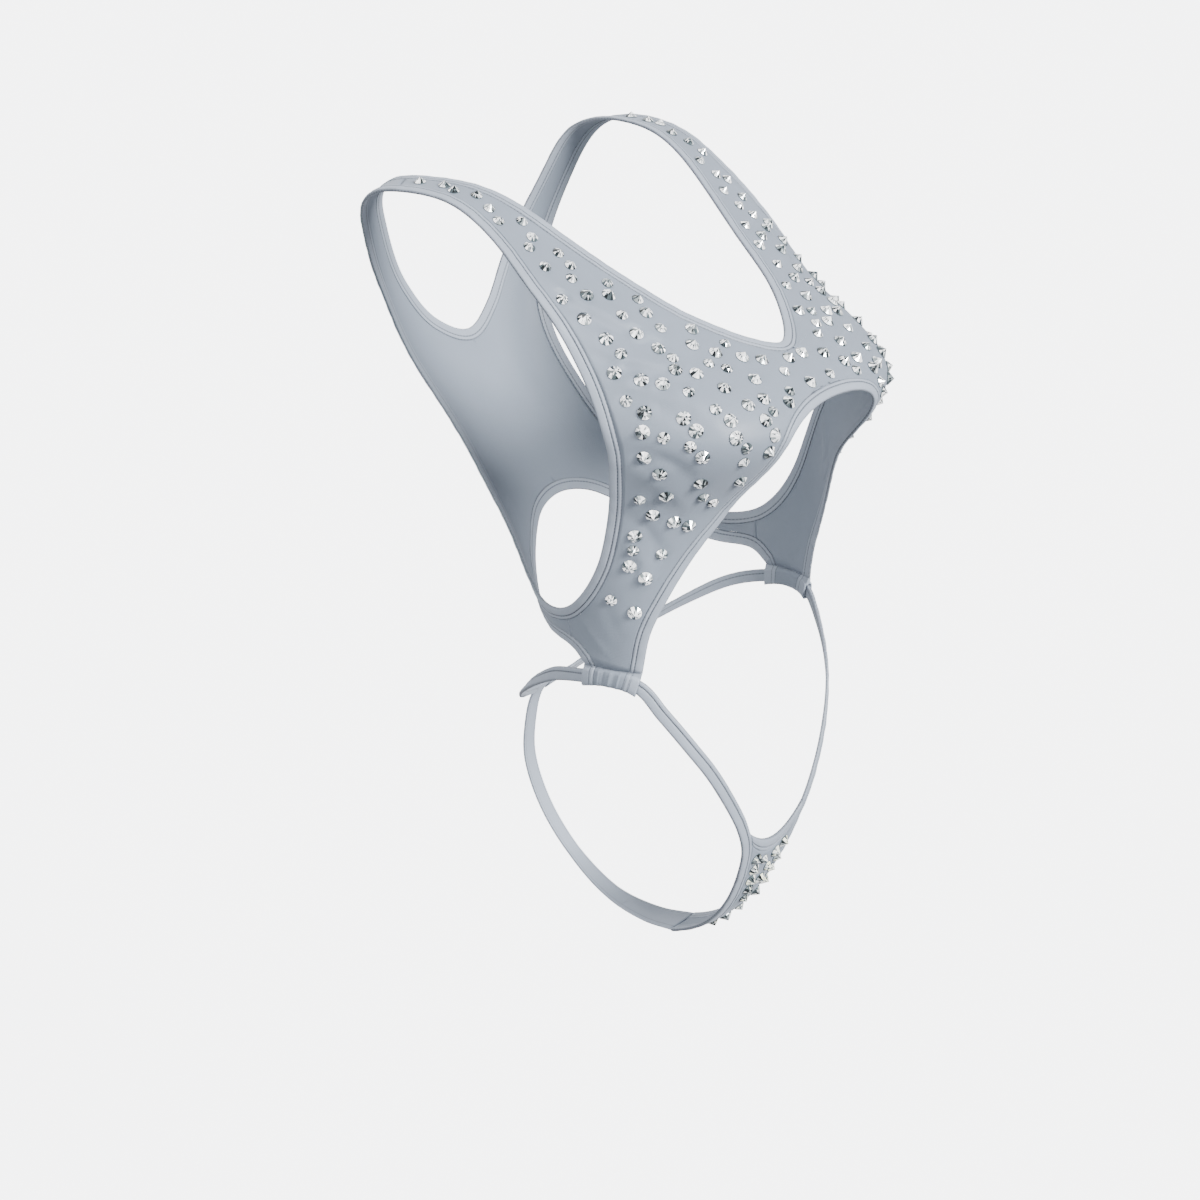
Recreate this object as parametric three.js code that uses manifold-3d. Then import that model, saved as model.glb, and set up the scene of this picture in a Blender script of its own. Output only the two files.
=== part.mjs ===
// A rhinestone cutout bodysuit in its worn form, in millimetres.
// +Z is up, the front faces -Y and +X is the wearer's left.
// The origin lies between the crests of the two shoulder straps, where the wearer holds it.
import * as THREE from 'three';
import { mergeVertices } from 'three/addons/utils/BufferGeometryUtils.js';
import Module from 'manifold-3d';

// Sizes of the cloth
const PANEL_WALL = 1.4;
const SEAM = 0.3;
const BINDING_WIDTH = 9;
const STRAP_WIDTH = 10;
const BINDING_UNDER = 0.4;
const BINDING_OVER = 2.0;
const BINDING_ROUND = 0.9;
const BINDING_TUCK = 0.3;

// Sizes of the rhinestones: width across, rise as a share of it, and the depth set into the wall
const STONE_LARGE = 9.8;
const STONE_SMALL = 8.2;
const STONE_RISE = 0.5;
const STONE_SUNK = 0.9;
const STONE_SIDES = 6;
// How far a stone is set out of line: along, in sections, and across, as a share of the width
const DRIFT_ALONG = 0.16;
const DRIFT_ACROSS = 0.03;

// Sizes of the casing that the hip strap runs through
const CASING_TOP = -315.2;
const CASING_STEPS = 7;
const RUCHE = 0.35;
const RUCHE_WAVES = 3;
// Outline of the casing round the strap: height across the strap and depth off the skin.
// A height of null stands for the seam line at the panel's foot.
const CASING_OUTLINE = [
  { outer: [null, 1.8], bore: [5.4, 1.6] },
  { outer: [6.6, 2.4], bore: [5.4, 2.3] },
  { outer: [5.2, 4.1], bore: [4.8, 2.8] },
  { outer: [0, 4.5], bore: [0, 2.9] },
  { outer: [-5.2, 4.2], bore: [-5.0, 2.8] },
  { outer: [-7.0, 2.4], bore: [-5.7, 1.8] },
  { outer: [-7.0, -1.0], bore: [-5.7, -0.4] },
  { outer: [-5.4, -2.6], bore: [-5.0, -1.2] },
  { outer: [0, -2.8], bore: [0, -1.3] },
  { outer: [5.2, -2.6], bore: [4.8, -1.2] },
  { outer: [6.6, -1.4], bore: [5.4, -0.7] },
  { outer: [null, -0.4], bore: [5.4, -0.2] },
];
// Numbers of sections along the edges where the pieces meet
const FRONT_COLUMNS = 8;
const BACK_COLUMNS = 6;
const NECK_FRONT = 17;
const ARM_FRONT = 32;
const SEAM_STEPS = 2;
const SIDE_SEAM_ON_ARCH = 10;
const FRONT_MIDDLE = 2;
const BACK_MIDDLE = 4;
const THONG_TOP = 11;
const THONG_SAG = 15;
const THONG_SAG_ROWS = 6;
const CASING_FIRST = 11;
const CASING_LAST = 13;

// The general figure under the cloth: level rings by height
const RINGS = [
  // height, half width, front y, back y, squareness
  { z: 60, half: 120, front: -10, back: 30, square: 2.1 },
  { z: 0, half: 195, front: -63, back: 60, square: 2.1 },
  { z: -40, half: 205, front: -107, back: 66, square: 2.2 },
  { z: -90, half: 168, front: -170, back: 72, square: 2.4 },
  { z: -140, half: 154, front: -226, back: 56, square: 2.6 },
  { z: -200, half: 137, front: -215, back: 12, square: 2.4 },
  { z: -260, half: 124, front: -216, back: -30, square: 2.2 },
  { z: -330, half: 117, front: -221, back: -49, square: 2.1 },
  { z: -400, half: 140, front: -220, back: -8, square: 2.1 },
  { z: -460, half: 165, front: -212, back: 40, square: 2.1 },
  { z: -510, half: 172, front: -190, back: 54, square: 2.2 },
  { z: -560, half: 165, front: -150, back: 50, square: 2.2 },
  { z: -610, half: 150, front: -110, back: 30, square: 2.2 },
];
const BUST = { rise: 27, x: 96, spread: 50, z: -134, above: 60, below: 56, dip: 0.12 };
// Fullness at the foot of the front, under the thong
const FULLNESS = { rise: 10, spread: 26, z: -540, above: 45, below: 30 };
const ROUNDING = 16;
const SHOULDER_TOP = 6;
const CROTCH_FLOOR = -566;

// The edges of the openings, as points on the figure from place to place.
// Steps is the number of sections from one row to the next.
const NECK_EDGE = [
  { x: 0, y: -205, z: -103, steps: 2 },
  { x: 18, y: -197, z: -98, steps: 3 },
  { x: 49, y: -165, z: -79, steps: 3 },
  { x: 69, y: -123, z: -54, steps: 3 },
  { x: 84, y: -87, z: -30, steps: 2 },
  { x: 98, y: -45, z: -5, steps: 2 },
  { x: 105, y: -18, z: 2, steps: 2 },
  { x: 110, y: 18, z: 2, steps: 2 },
  { x: 103, y: 45, z: -17, steps: 3 },
  { x: 81, y: 63, z: -57, steps: 2 },
  { x: 57, y: 66, z: -92, steps: 2 },
  { x: 30, y: 60, z: -122, steps: 2 },
  { x: 0, y: 55, z: -135, steps: 0 },
];
const ARMHOLE_EDGE = [
  { x: 141, y: 12, z: 0, steps: 3 },
  { x: 137, y: -32, z: -4, steps: 3 },
  { x: 137, y: -66, z: -22, steps: 3 },
  { x: 140, y: -97, z: -49, steps: 3 },
  { x: 140, y: -127, z: -81, steps: 4 },
  { x: 143, y: -151, z: -115, steps: 3 },
  { x: 142, y: -163, z: -146, steps: 3 },
  { x: 135, y: -160, z: -175, steps: 3 },
  { x: 127, y: -152, z: -208, steps: 3 },
  { x: 125, y: -143, z: -238, steps: 2 },
  { x: 122, y: -127, z: -264, steps: 2 },
  { x: 119, y: -112, z: -276, steps: 3 },
  { x: 110, y: -88, z: -279, steps: 3 },
  { x: 99, y: -62, z: -267, steps: 3 },
  { x: 86, y: -24, z: -236, steps: 3 },
  { x: 78, y: 12, z: -200, steps: 3 },
  { x: 79, y: 42, z: -158, steps: 3 },
  { x: 92, y: 60, z: -112, steps: 3 },
  { x: 112, y: 63, z: -68, steps: 2 },
  { x: 133, y: 46, z: -22, steps: 2 },
];
const FRONT_ARCH_EDGE = [
  { x: 0, y: -250, z: -131, steps: 2 },
  { x: 30, y: -249, z: -136, steps: 2 },
  { x: 53, y: -245, z: -148, steps: 2 },
  { x: 62, y: -229, z: -177, steps: 2 },
  { x: 72, y: -210, z: -205, steps: 2 },
  { x: 86, y: -196, z: -230, steps: 2 },
  { x: 99, y: -184, z: -259, steps: 2 },
  { x: 106, y: -174, z: -286, steps: 3 },
  { x: 108, y: -169, z: -314.6, steps: 0 },
];
const BACK_ARCH_EDGE = [
  { x: 0, y: -20, z: -248, steps: 2 },
  { x: 30, y: -24, z: -254, steps: 2 },
  { x: 60, y: -40, z: -272, steps: 2 },
  { x: 84, y: -62, z: -289, steps: 2 },
  { x: 104, y: -92, z: -301, steps: 2 },
  { x: 115, y: -115, z: -305, steps: 2 },
  { x: 117, y: -127, z: -314.6, steps: 0 },
];
const LEG_EDGE = [
  { x: 16, y: -132, z: -556, steps: 2 },
  { x: 17, y: -154, z: -551, steps: 2 },
  { x: 21, y: -172, z: -538, steps: 2 },
  { x: 26, y: -186, z: -515, steps: 3 },
  { x: 33, y: -200, z: -488, steps: 2 },
  { x: 39, y: -208, z: -468, steps: 2 },
  { x: 50, y: -210, z: -446, steps: 2 },
  { x: 66, y: -208, z: -419, steps: 2 },
  { x: 80, y: -203, z: -395, steps: 2 },
  { x: 93, y: -194, z: -373, steps: 2 },
  { x: 104, y: -178, z: -348, steps: 3 },
  { x: 110, y: -164, z: -330, steps: 4 },
  { x: 114, y: -147, z: -327.2, steps: 4 },
  { x: 117, y: -128, z: -329, steps: 2 },
  { x: 108, y: -98, z: -338, steps: 2 },
  { x: 90, y: -71, z: -356, steps: 2 },
  { x: 62, y: -38, z: -382, steps: 2 },
  { x: 34, y: -14, z: -400, steps: 2 },
  { x: 6.9, y: -3, z: -406.7, steps: 0 },
];
// The thong strap in the middle plane, from the crotch seam to the back
const THONG_LINE = [
  { y: -132.85, z: -560.85, half: 15.9 },
  { y: -105, z: -562.5, half: 12.5 },
  { y: -70, z: -555, half: 8.5 },
  { y: -35, z: -531, half: 6.5 },
  { y: -8, z: -498, half: 6.5 },
  { y: 6, z: -462, half: 6.5 },
  { y: 5, z: -432, half: 6.5 },
  { y: -0.6, z: -410, half: 6.5 },
  { y: -9.3, z: -398.3, half: 6.5 },
];
const THONG_STEPS = 3;

// Rows of rhinestones over half of the front: place along the panel in sections from the
// shoulder seam, number in the row, and the share of the panel's width at the first and last
const FRONT_STONES = [
  { at: 0.8, count: 1, first: 0.6, last: 0.6 },
  { at: 1.8, count: 1, first: 0.75, last: 0.75 },
  { at: 2.5, count: 1, first: 0.3, last: 0.3 },
  { at: 3.4, count: 1, first: 0.7, last: 0.7 },
  { at: 4.3, count: 1, first: 0.38, last: 0.38 },
  { at: 5.2, count: 2, first: 0.22, last: 0.74 },
  { at: 6.1, count: 1, first: 0.5, last: 0.5 },
  { at: 7.0, count: 2, first: 0.25, last: 0.68 },
  { at: 8.1, count: 2, first: 0.25, last: 0.6 },
  { at: 9.1, count: 2, first: 0.41, last: 0.81 },
  { at: 10.2, count: 4, first: 0.13, last: 0.88 },
  { at: 11.4, count: 3, first: 0.16, last: 0.77 },
  { at: 12.6, count: 4, first: 0.2, last: 0.91 },
  { at: 14.1, count: 4, first: 0.19, last: 0.88 },
  { at: 15.2, count: 3, first: 0.1, last: 0.67 },
  { at: 16.3, count: 4, first: 0.2, last: 0.72 },
  { at: 17.1, count: 6, first: 0.09, last: 0.94 },
  { at: 17.9, count: 5, first: 0.16, last: 0.86 },
  { at: 18.6, count: 7, first: 0.1, last: 0.93 },
  { at: 19.3, count: 5, first: 0.17, last: 0.77 },
  { at: 20.3, count: 4, first: 0.1, last: 0.7 },
  { at: 21.8, count: 4, first: 0.2, last: 0.83 },
  { at: 23.1, count: 5, first: 0.09, last: 0.88 },
  { at: 24.4, count: 3, first: 0.22, last: 0.86 },
  { at: 25.4, count: 3, first: 0.11, last: 0.72 },
  { at: 26.7, count: 2, first: 0.17, last: 0.66 },
  { at: 28.1, count: 2, first: 0.25, last: 0.6 },
  { at: 29.3, count: 1, first: 0.62, last: 0.62 },
  { at: 30.1, count: 1, first: 0.28, last: 0.28 },
  { at: 31.9, count: 1, first: 0.84, last: 0.84 },
];
const TRIANGLE_STONES = [
  { at: 2.2, count: 1, first: 0.5, last: 0.5 },
  { at: 3.4, count: 1, first: 0.5, last: 0.5 },
  { at: 4.6, count: 1, first: 0.5, last: 0.5 },
  { at: 5.8, count: 2, first: 0.25, last: 0.75 },
  { at: 6.9, count: 2, first: 0.22, last: 0.78 },
  { at: 8.0, count: 3, first: 0.18, last: 0.82 },
  { at: 9.1, count: 3, first: 0.2, last: 0.8 },
  { at: 10.2, count: 4, first: 0.14, last: 0.86 },
];
// Strap rows below this place hold small stones alone, and a stone keeps this far from a seam
const STRAP_ROWS = 10;
const STONE_MARGIN = 1.9;
// The least cloth that shows between two stones
const STONE_APART = 1.4;

// Rounds of the steps that bring points nearer to their place, and the size of a shared point
const SETTLE_ROUNDS = 10;
const SPACING_ROUNDS = 4;
const CLEAR_ROUNDS = 3;
const APART_ROUNDS = 12;
const SAME_POINT = 0.005;
// How far a panel stands over the chord between its edges, for each turn of the skin
const BULGE = 0.35;

/** The ring of the figure at a height: a smooth curve through the rows of the table. */
function ringAt(z) {
  const last = RINGS.length - 1;
  const height = Math.min(Math.max(z, RINGS[last].z), RINGS[0].z);
  let i = 0;
  while (i < last - 1 && height < RINGS[i + 1].z) {
    i += 1;
  }
  const span = RINGS[i + 1].z - RINGS[i].z;
  const t = (height - RINGS[i].z) / span;
  const ring = {};
  for (const key of ['half', 'front', 'back', 'square']) {
    const rate = (k) => {
      const a = Math.max(k - 1, 0);
      const b = Math.min(k + 1, last);
      return (RINGS[b][key] - RINGS[a][key]) / (RINGS[b].z - RINGS[a].z);
    };
    ring[key] = (2 * t ** 3 - 3 * t ** 2 + 1) * RINGS[i][key]
      + (t ** 3 - 2 * t ** 2 + t) * span * rate(i)
      + (3 * t ** 2 - 2 * t ** 3) * RINGS[i + 1][key]
      + (t ** 3 - t ** 2) * span * rate(i + 1);
  }
  return ring;
}

/** How far a point lies outside the figure, about: below zero inside, zero on the skin. */
function outside(x, y, z) {
  const ring = ringAt(z);
  const across = Math.abs(x);
  const reach = z > BUST.z ? BUST.above : BUST.below;
  const inward = Math.min(across / BUST.x, 1);
  const crest = across > BUST.x
    ? Math.exp(-(((across - BUST.x) / BUST.spread) ** 2))
    : 1 - BUST.dip * (1 - inward ** 2) ** 2;
  const fade = z > FULLNESS.z ? FULLNESS.above : FULLNESS.below;
  const full = Math.exp(-((across / FULLNESS.spread) ** 2) - ((z - FULLNESS.z) / fade) ** 2);
  const front = ring.front - BUST.rise * crest * Math.exp(-(((z - BUST.z) / reach) ** 2))
    - FULLNESS.rise * full;
  const middle = (front + ring.back) / 2;
  const depth = (ring.back - front) / 2;
  const round = (across / ring.half) ** ring.square + (Math.abs(y - middle) / depth) ** ring.square;
  const trunk = (Math.max(round, 1e-9) ** (1 / ring.square) - 1) * depth;
  const roof = z - SHOULDER_TOP;
  const floor = CROTCH_FLOOR - z;
  const most = Math.max(trunk, roof, floor);
  const sum = Math.exp((trunk - most) / ROUNDING) + Math.exp((roof - most) / ROUNDING)
    + Math.exp((floor - most) / ROUNDING);
  return most + ROUNDING * Math.log(sum);
}

/** The direction in which a point leaves the figure fastest, with its rate. */
function slopeAt(p) {
  const e = 0.5;
  return new THREE.Vector3(
    outside(p.x + e, p.y, p.z) - outside(p.x - e, p.y, p.z),
    outside(p.x, p.y + e, p.z) - outside(p.x, p.y - e, p.z),
    outside(p.x, p.y, p.z + e) - outside(p.x, p.y, p.z - e),
  ).divideScalar(2 * e);
}

/** A point brought onto the figure, with the direction that faces out there. */
function settle(point) {
  const p = point.clone();
  for (let round = 0; round < SETTLE_ROUNDS; round += 1) {
    const slope = slopeAt(p);
    p.addScaledVector(slope, -outside(p.x, p.y, p.z) / Math.max(slope.lengthSq(), 1e-6));
  }
  return { p, n: slopeAt(p).normalize() };
}

/** Stations on the figure along an edge table, its rows as given and steps between them. */
function stationsOf(rows, closed) {
  const points = rows.map((row) => new THREE.Vector3(row.x, row.y, row.z));
  const curve = new THREE.CatmullRomCurve3(points, closed, 'centripetal');
  const spans = closed ? rows.length : rows.length - 1;
  const stations = [];
  rows.forEach((row, i) => {
    for (let k = 0; k < row.steps; k += 1) {
      stations.push(settle(curve.getPoint((i + k / row.steps) / spans)));
    }
  });
  if (!closed) {
    stations.push(settle(points[points.length - 1]));
  }
  return stations;
}

/** A half table mirrored to the other side; the rows on the middle plane aren't doubled. */
function bothSides(rows) {
  const steps = rows.map((row) => row.steps);
  const back = rows.map((row, i) => ({ ...row, x: -row.x, steps: i > 0 ? steps[i - 1] : 0 }));
  back.reverse();
  if (rows[rows.length - 1].x === 0) {
    const closing = back.slice(1, -1);
    const turned = { ...rows[rows.length - 1], steps: steps[rows.length - 2] };
    return [...rows.slice(0, -1), turned, ...closing];
  }
  const whole = back.slice(0, -1);
  return [...whole, ...rows];
}

/** Each station's direction across the edge, level with the skin; side 1 or -1 picks which. */
function acrossOf(stations, side, closed) {
  const count = stations.length;
  return stations.map((station, i) => {
    const before = stations[closed ? (i - 1 + count) % count : Math.max(i - 1, 0)];
    const after = stations[closed ? (i + 1) % count : Math.min(i + 1, count - 1)];
    const along = after.p.clone().sub(before.p);
    return station.n.clone().cross(along).normalize().multiplyScalar(side);
  });
}

/** Points on the figure at a distance beside an edge. */
function beside(stations, across, distance) {
  return stations.map((station, i) => settle(station.p.clone().addScaledVector(across[i], distance)));
}

/** A closed body from rings of points: each ring joins the next, and ends are capped. */
function sweep(rings, closed) {
  const size = rings[0].length;
  const positions = rings.flat().flatMap((p) => [p.x, p.y, p.z]);
  const index = [];
  const spans = closed ? rings.length : rings.length - 1;
  for (let i = 0; i < spans; i += 1) {
    const next = (i + 1) % rings.length;
    for (let k = 0; k < size; k += 1) {
      const a = i * size + k;
      const b = i * size + ((k + 1) % size);
      const c = next * size + ((k + 1) % size);
      const d = next * size + k;
      index.push(a, b, c, a, c, d);
    }
  }
  if (!closed) {
    const end = (rings.length - 1) * size;
    for (let k = 1; k < size - 1; k += 1) {
      index.push(0, k + 1, k);
      index.push(end, end + k, end + k + 1);
    }
  }
  return outward(positions, index);
}

/** A geometry whose faces point out, whichever way its rings ran. */
function outward(positions, index) {
  let volume = 0;
  for (let i = 0; i < index.length; i += 3) {
    const [a, b, c] = [0, 1, 2].map((k) => new THREE.Vector3().fromArray(positions, 3 * index[i + k]));
    volume += a.dot(b.cross(c));
  }
  const faces = [];
  for (let i = 0; i < index.length; i += 3) {
    faces.push(index[i], index[volume > 0 ? i + 1 : i + 2], index[volume > 0 ? i + 2 : i + 1]);
  }
  const geometry = new THREE.BufferGeometry();
  geometry.setAttribute('position', new THREE.Float32BufferAttribute(positions, 3));
  geometry.setIndex(faces);
  return geometry;
}

/** The section of a folded strip: distance across it and height over the skin. */
function stripSection(width) {
  return [
    [BINDING_TUCK, -BINDING_UNDER],
    [0, BINDING_OVER - BINDING_ROUND],
    [BINDING_ROUND, BINDING_OVER],
    [width - BINDING_ROUND, BINDING_OVER],
    [width, BINDING_OVER - BINDING_ROUND],
    [width - BINDING_TUCK, -BINDING_UNDER],
  ];
}

/** A folded strip along an edge, on the skin. */
function strip(stations, across, width, closed) {
  const columns = stripSection(width).map(([distance, height]) => beside(stations, across, distance)
    .map(({ p, n }) => p.clone().addScaledVector(n, height)));
  return sweep(stations.map((_, i) => columns.map((column) => column[i])), closed);
}

/** A cloth wall over patches of points: shared points are welded, and free edges are closed. */
function wall(patches, under, over) {
  const places = new Map();
  const points = [];
  const faces = [];
  const place = (station) => {
    const key = [station.p.x, station.p.y, station.p.z].map((v) => Math.round(v / SAME_POINT)).join();
    if (!places.has(key)) {
      places.set(key, points.length);
      points.push(station);
    }
    return places.get(key);
  };
  const face = (a, b, c) => {
    if (a === b || b === c || a === c) {
      return;
    }
    const ab = points[b].p.clone().sub(points[a].p);
    const ac = points[c].p.clone().sub(points[a].p);
    const facing = ab.cross(ac).dot(points[a].n) > 0;
    faces.push(facing ? [a, b, c] : [a, c, b]);
  };
  for (const rows of patches) {
    for (let i = 0; i < rows.length - 1; i += 1) {
      for (let j = 0; j < rows[i].length - 1; j += 1) {
        const [a, b, c, d] = [rows[i][j], rows[i][j + 1], rows[i + 1][j + 1], rows[i + 1][j]].map(place);
        face(a, b, c);
        face(a, c, d);
      }
    }
  }
  const count = points.length;
  const positions = [];
  for (const height of [over, under]) {
    for (const { p, n } of points) {
      positions.push(...p.clone().addScaledVector(n, height).toArray());
    }
  }
  const sides = new Set(faces.flatMap(([a, b, c]) => [`${a},${b}`, `${b},${c}`, `${c},${a}`]));
  const index = [];
  for (const [a, b, c] of faces) {
    index.push(a, b, c, a + count, c + count, b + count);
    for (const [s, t] of [[a, b], [b, c], [c, a]]) {
      if (!sides.has(`${t},${s}`)) {
        index.push(s, s + count, t + count, s, t + count, t);
      }
    }
  }
  return outward(positions, index);
}

/** Rows of a panel between an outer and an inner line of stations, evenly spaced on the skin. */
function panelRows(outer, inner, columns, sag = () => 0) {
  return outer.map((from, i) => {
    const to = inner[i];
    const bulge = from.n.clone().add(to.n).normalize()
      .multiplyScalar(BULGE * from.p.distanceTo(to.p) * Math.max(0, 1 - from.n.dot(to.n)));
    let row = [];
    for (let j = 0; j <= columns; j += 1) {
      const t = j / columns;
      const p = from.p.clone().lerp(to.p, t).addScaledVector(bulge, 4 * t * (1 - t));
      p.z -= sag(i) * 4 * t * (1 - t);
      row.push(settle(p));
    }
    for (let round = 0; round < SPACING_ROUNDS; round += 1) {
      const far = [0];
      for (let j = 1; j <= columns; j += 1) {
        far.push(far[j - 1] + row[j].p.distanceTo(row[j - 1].p));
      }
      row = row.map((station, j) => {
        if (j === 0 || j === columns) {
          return station;
        }
        const want = far[columns] * j / columns;
        let k = 0;
        while (far[k + 1] < want) {
          k += 1;
        }
        const t = (want - far[k]) / (far[k + 1] - far[k]);
        return settle(row[k].p.clone().lerp(row[k + 1].p, t));
      });
    }
    row[0] = from;
    row[columns] = to;
    return row;
  });
}

const mirrored = (station) => ({
  p: station.p.clone().multiply(new THREE.Vector3(-1, 1, 1)),
  n: station.n.clone().multiply(new THREE.Vector3(-1, 1, 1)),
});
const mirroredRows = (rows) => rows.map((row) => row.map(mirrored));

function mirroredGeometry(geometry) {
  const positions = Array.from(geometry.attributes.position.array);
  for (let i = 0; i < positions.length; i += 3) {
    positions[i] = -positions[i];
  }
  return outward(positions, Array.from(geometry.index.array));
}

/** Stations between two others, on the figure. */
function between(from, to, steps) {
  const line = [];
  for (let k = 1; k < steps; k += 1) {
    line.push(settle(from.p.clone().lerp(to.p, k / steps)));
  }
  return line;
}

/** A row of stations moved towards the next row, for the gap of a seam. */
function eased(row, next, distance) {
  return row.map((station, j) => {
    const step = next[j].p.clone().sub(station.p);
    return settle(station.p.clone().addScaledVector(step.normalize(), distance));
  });
}

/** A station at a place along a panel's rows and at a share of its width. */
function onRows(rows, at, share) {
  const i = Math.min(Math.floor(at), rows.length - 2);
  const columns = rows[0].length - 1;
  const j = Math.min(Math.floor(share * columns), columns - 1);
  const [t, u] = [at - i, share * columns - j];
  const near = rows[i][j].p.clone().lerp(rows[i][j + 1].p, u);
  const far = rows[i + 1][j].p.clone().lerp(rows[i + 1][j + 1].p, u);
  return settle(near.lerp(far, t));
}

/** A cone-shaped stone, its foot in the wall and its point facing out. */
function stone({ p, n }, across) {
  const side = new THREE.Vector3(0.3, 0.2, 1).cross(n).normalize();
  const other = n.clone().cross(side);
  const rise = across * STONE_RISE;
  const radius = across / 2 * (rise + STONE_SUNK) / rise;
  const foot = Array.from({ length: STONE_SIDES }, (_, k) => {
    const angle = 2 * Math.PI * k / STONE_SIDES;
    return p.clone().addScaledVector(n, PANEL_WALL - STONE_SUNK)
      .addScaledVector(side, radius * Math.cos(angle)).addScaledVector(other, radius * Math.sin(angle));
  });
  const point = p.clone().addScaledVector(n, PANEL_WALL + rise);
  const positions = [...foot, point].flatMap((v) => v.toArray());
  const index = [];
  for (let k = 0; k < STONE_SIDES; k += 1) {
    index.push(k, (k + 1) % STONE_SIDES, STONE_SIDES);
  }
  for (let k = 1; k < STONE_SIDES - 1; k += 1) {
    index.push(0, k + 1, k);
  }
  return outward(positions, index);
}

/** A repeatable scatter between -1 and 1 from a whole number. */
function scatter(number) {
  const wave = Math.sin(number * 127.1 + 11.7) * 43758.5453;
  return 2 * (wave - Math.floor(wave)) - 1;
}

/** A place moved off the nearest of some seam lines until it has the room it needs. */
function clearOf(seams, place, room) {
  let moved = place;
  for (let round = 0; round < CLEAR_ROUNDS; round += 1) {
    let nearest = null;
    for (const seam of seams) {
      for (let i = 0; i < seam.length - 1; i += 1) {
        const spot = new THREE.Line3(seam[i].p, seam[i + 1].p)
          .closestPointToPoint(moved.p, true, new THREE.Vector3());
        if (!nearest || spot.distanceTo(moved.p) < nearest.distanceTo(moved.p)) {
          nearest = spot;
        }
      }
    }
    const away = moved.p.clone().sub(nearest);
    if (away.length() < room) {
      moved = settle(moved.p.clone().addScaledVector(away.normalize(), room - moved.p.distanceTo(nearest)));
    }
  }
  return moved;
}

/** Places for rows of stones over a panel, a little out of line as they are set by hand. */
function stoneRows(rows, table, smallRows, seed) {
  return table.flatMap(({ at, count, first, last }, i) => Array.from({ length: count }, (_, k) => {
    const number = seed + 50 * i + k;
    const share = count > 1 ? first + (last - first) * k / (count - 1) : first;
    return {
      across: at < smallRows || number % 3 === 0 ? STONE_SMALL : STONE_LARGE,
      place: onRows(
        rows,
        at + DRIFT_ALONG * scatter(number),
        share + DRIFT_ACROSS * scatter(number + 0.5),
      ),
    };
  }));
}

/** Stones moved off the seams and off each other until each has its room. */
function stonesApart(stones, seams) {
  const room = stones.map(({ across }) => across / 2 + STONE_MARGIN);
  let places = stones.map(({ place }, i) => clearOf(seams, place, room[i]));
  for (let round = 0; round < APART_ROUNDS; round += 1) {
    places = places.map(({ p }, i) => {
      const moved = p.clone();
      places.forEach((other, j) => {
        const away = p.clone().sub(other.p);
        const short = (stones[i].across + stones[j].across) / 2 + STONE_APART - away.length();
        if (j !== i && short > 0) {
          moved.addScaledVector(away.normalize(), short / 2);
        }
      });
      return clearOf(seams, settle(moved), room[i]);
    });
  }
  return places.map((place, i) => stone(place, stones[i].across));
}

const wasm = await Module();
wasm.setup();

function solidOf(geometry) {
  const merged = mergeVertices(geometry, 1e-4);
  return new wasm.Manifold(new wasm.Mesh({
    numProp: 3,
    vertProperties: new Float32Array(merged.attributes.position.array),
    triVerts: new Uint32Array(merged.index.array),
  }));
}

/** One body of a wall and the stones set into it. */
function united(geometry, stones) {
  let solid = solidOf(geometry);
  for (const each of stones) {
    solid = solid.add(solidOf(each));
  }
  const mesh = solid.getMesh();
  const result = new THREE.BufferGeometry();
  result.setAttribute('position', new THREE.BufferAttribute(mesh.vertProperties, 3));
  result.setIndex(new THREE.BufferAttribute(mesh.triVerts, 1));
  return result;
}

const clothFinish = { color: 0xa9b2bd, roughness: 0.5, metalness: 0 };
const bindingFinish = { color: 0xb3bdc9, roughness: 0.45, metalness: 0 };
const group = new THREE.Group();
group.name = 'rhinestone_cutout_bodysuit';

function piece(name, geometry, finish) {
  const mesh = new THREE.Mesh(geometry, new THREE.MeshStandardMaterial(finish));
  mesh.name = name;
  group.add(mesh);
}

/** A piece of the left side and its mirrored twin. */
function pair(name, geometry, finish) {
  piece(`${name}_left`, geometry, finish);
  piece(`${name}_right`, mirroredGeometry(geometry), finish);
}

// Stations of the edges, on the left side and round both
const neckRing = stationsOf(bothSides(NECK_EDGE), true);
const neckAcross = acrossOf(neckRing, -1, true);
const neck = beside(neckRing, neckAcross, BINDING_WIDTH + SEAM);
const armRing = stationsOf(ARMHOLE_EDGE, true);
const armAcross = acrossOf(armRing, -1, true);
const arm = beside(armRing, armAcross, BINDING_WIDTH + SEAM);
const frontArch = stationsOf(bothSides(FRONT_ARCH_EDGE), false);
const backArch = stationsOf(bothSides(BACK_ARCH_EDGE), false);

/** Directions across an open edge, level at both ends. */
function acrossLevel(stations, side) {
  const across = acrossOf(stations, side, false);
  for (const end of [0, stations.length - 1]) {
    const level = stations[end].n.clone().cross(new THREE.Vector3(0, 0, 1)).normalize();
    across[end] = level.multiplyScalar(Math.sign(level.dot(across[end])));
  }
  return across;
}
const frontArchAcross = acrossLevel(frontArch, 1);
const backArchAcross = acrossLevel(backArch, -1);
const overArch = beside(frontArch, frontArchAcross, BINDING_WIDTH + SEAM);
const overBackArch = beside(backArch, backArchAcross, BINDING_WIDTH + SEAM);
const archMiddle = (frontArch.length - 1) / 2;
const backArchMiddle = (backArch.length - 1) / 2;

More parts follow.
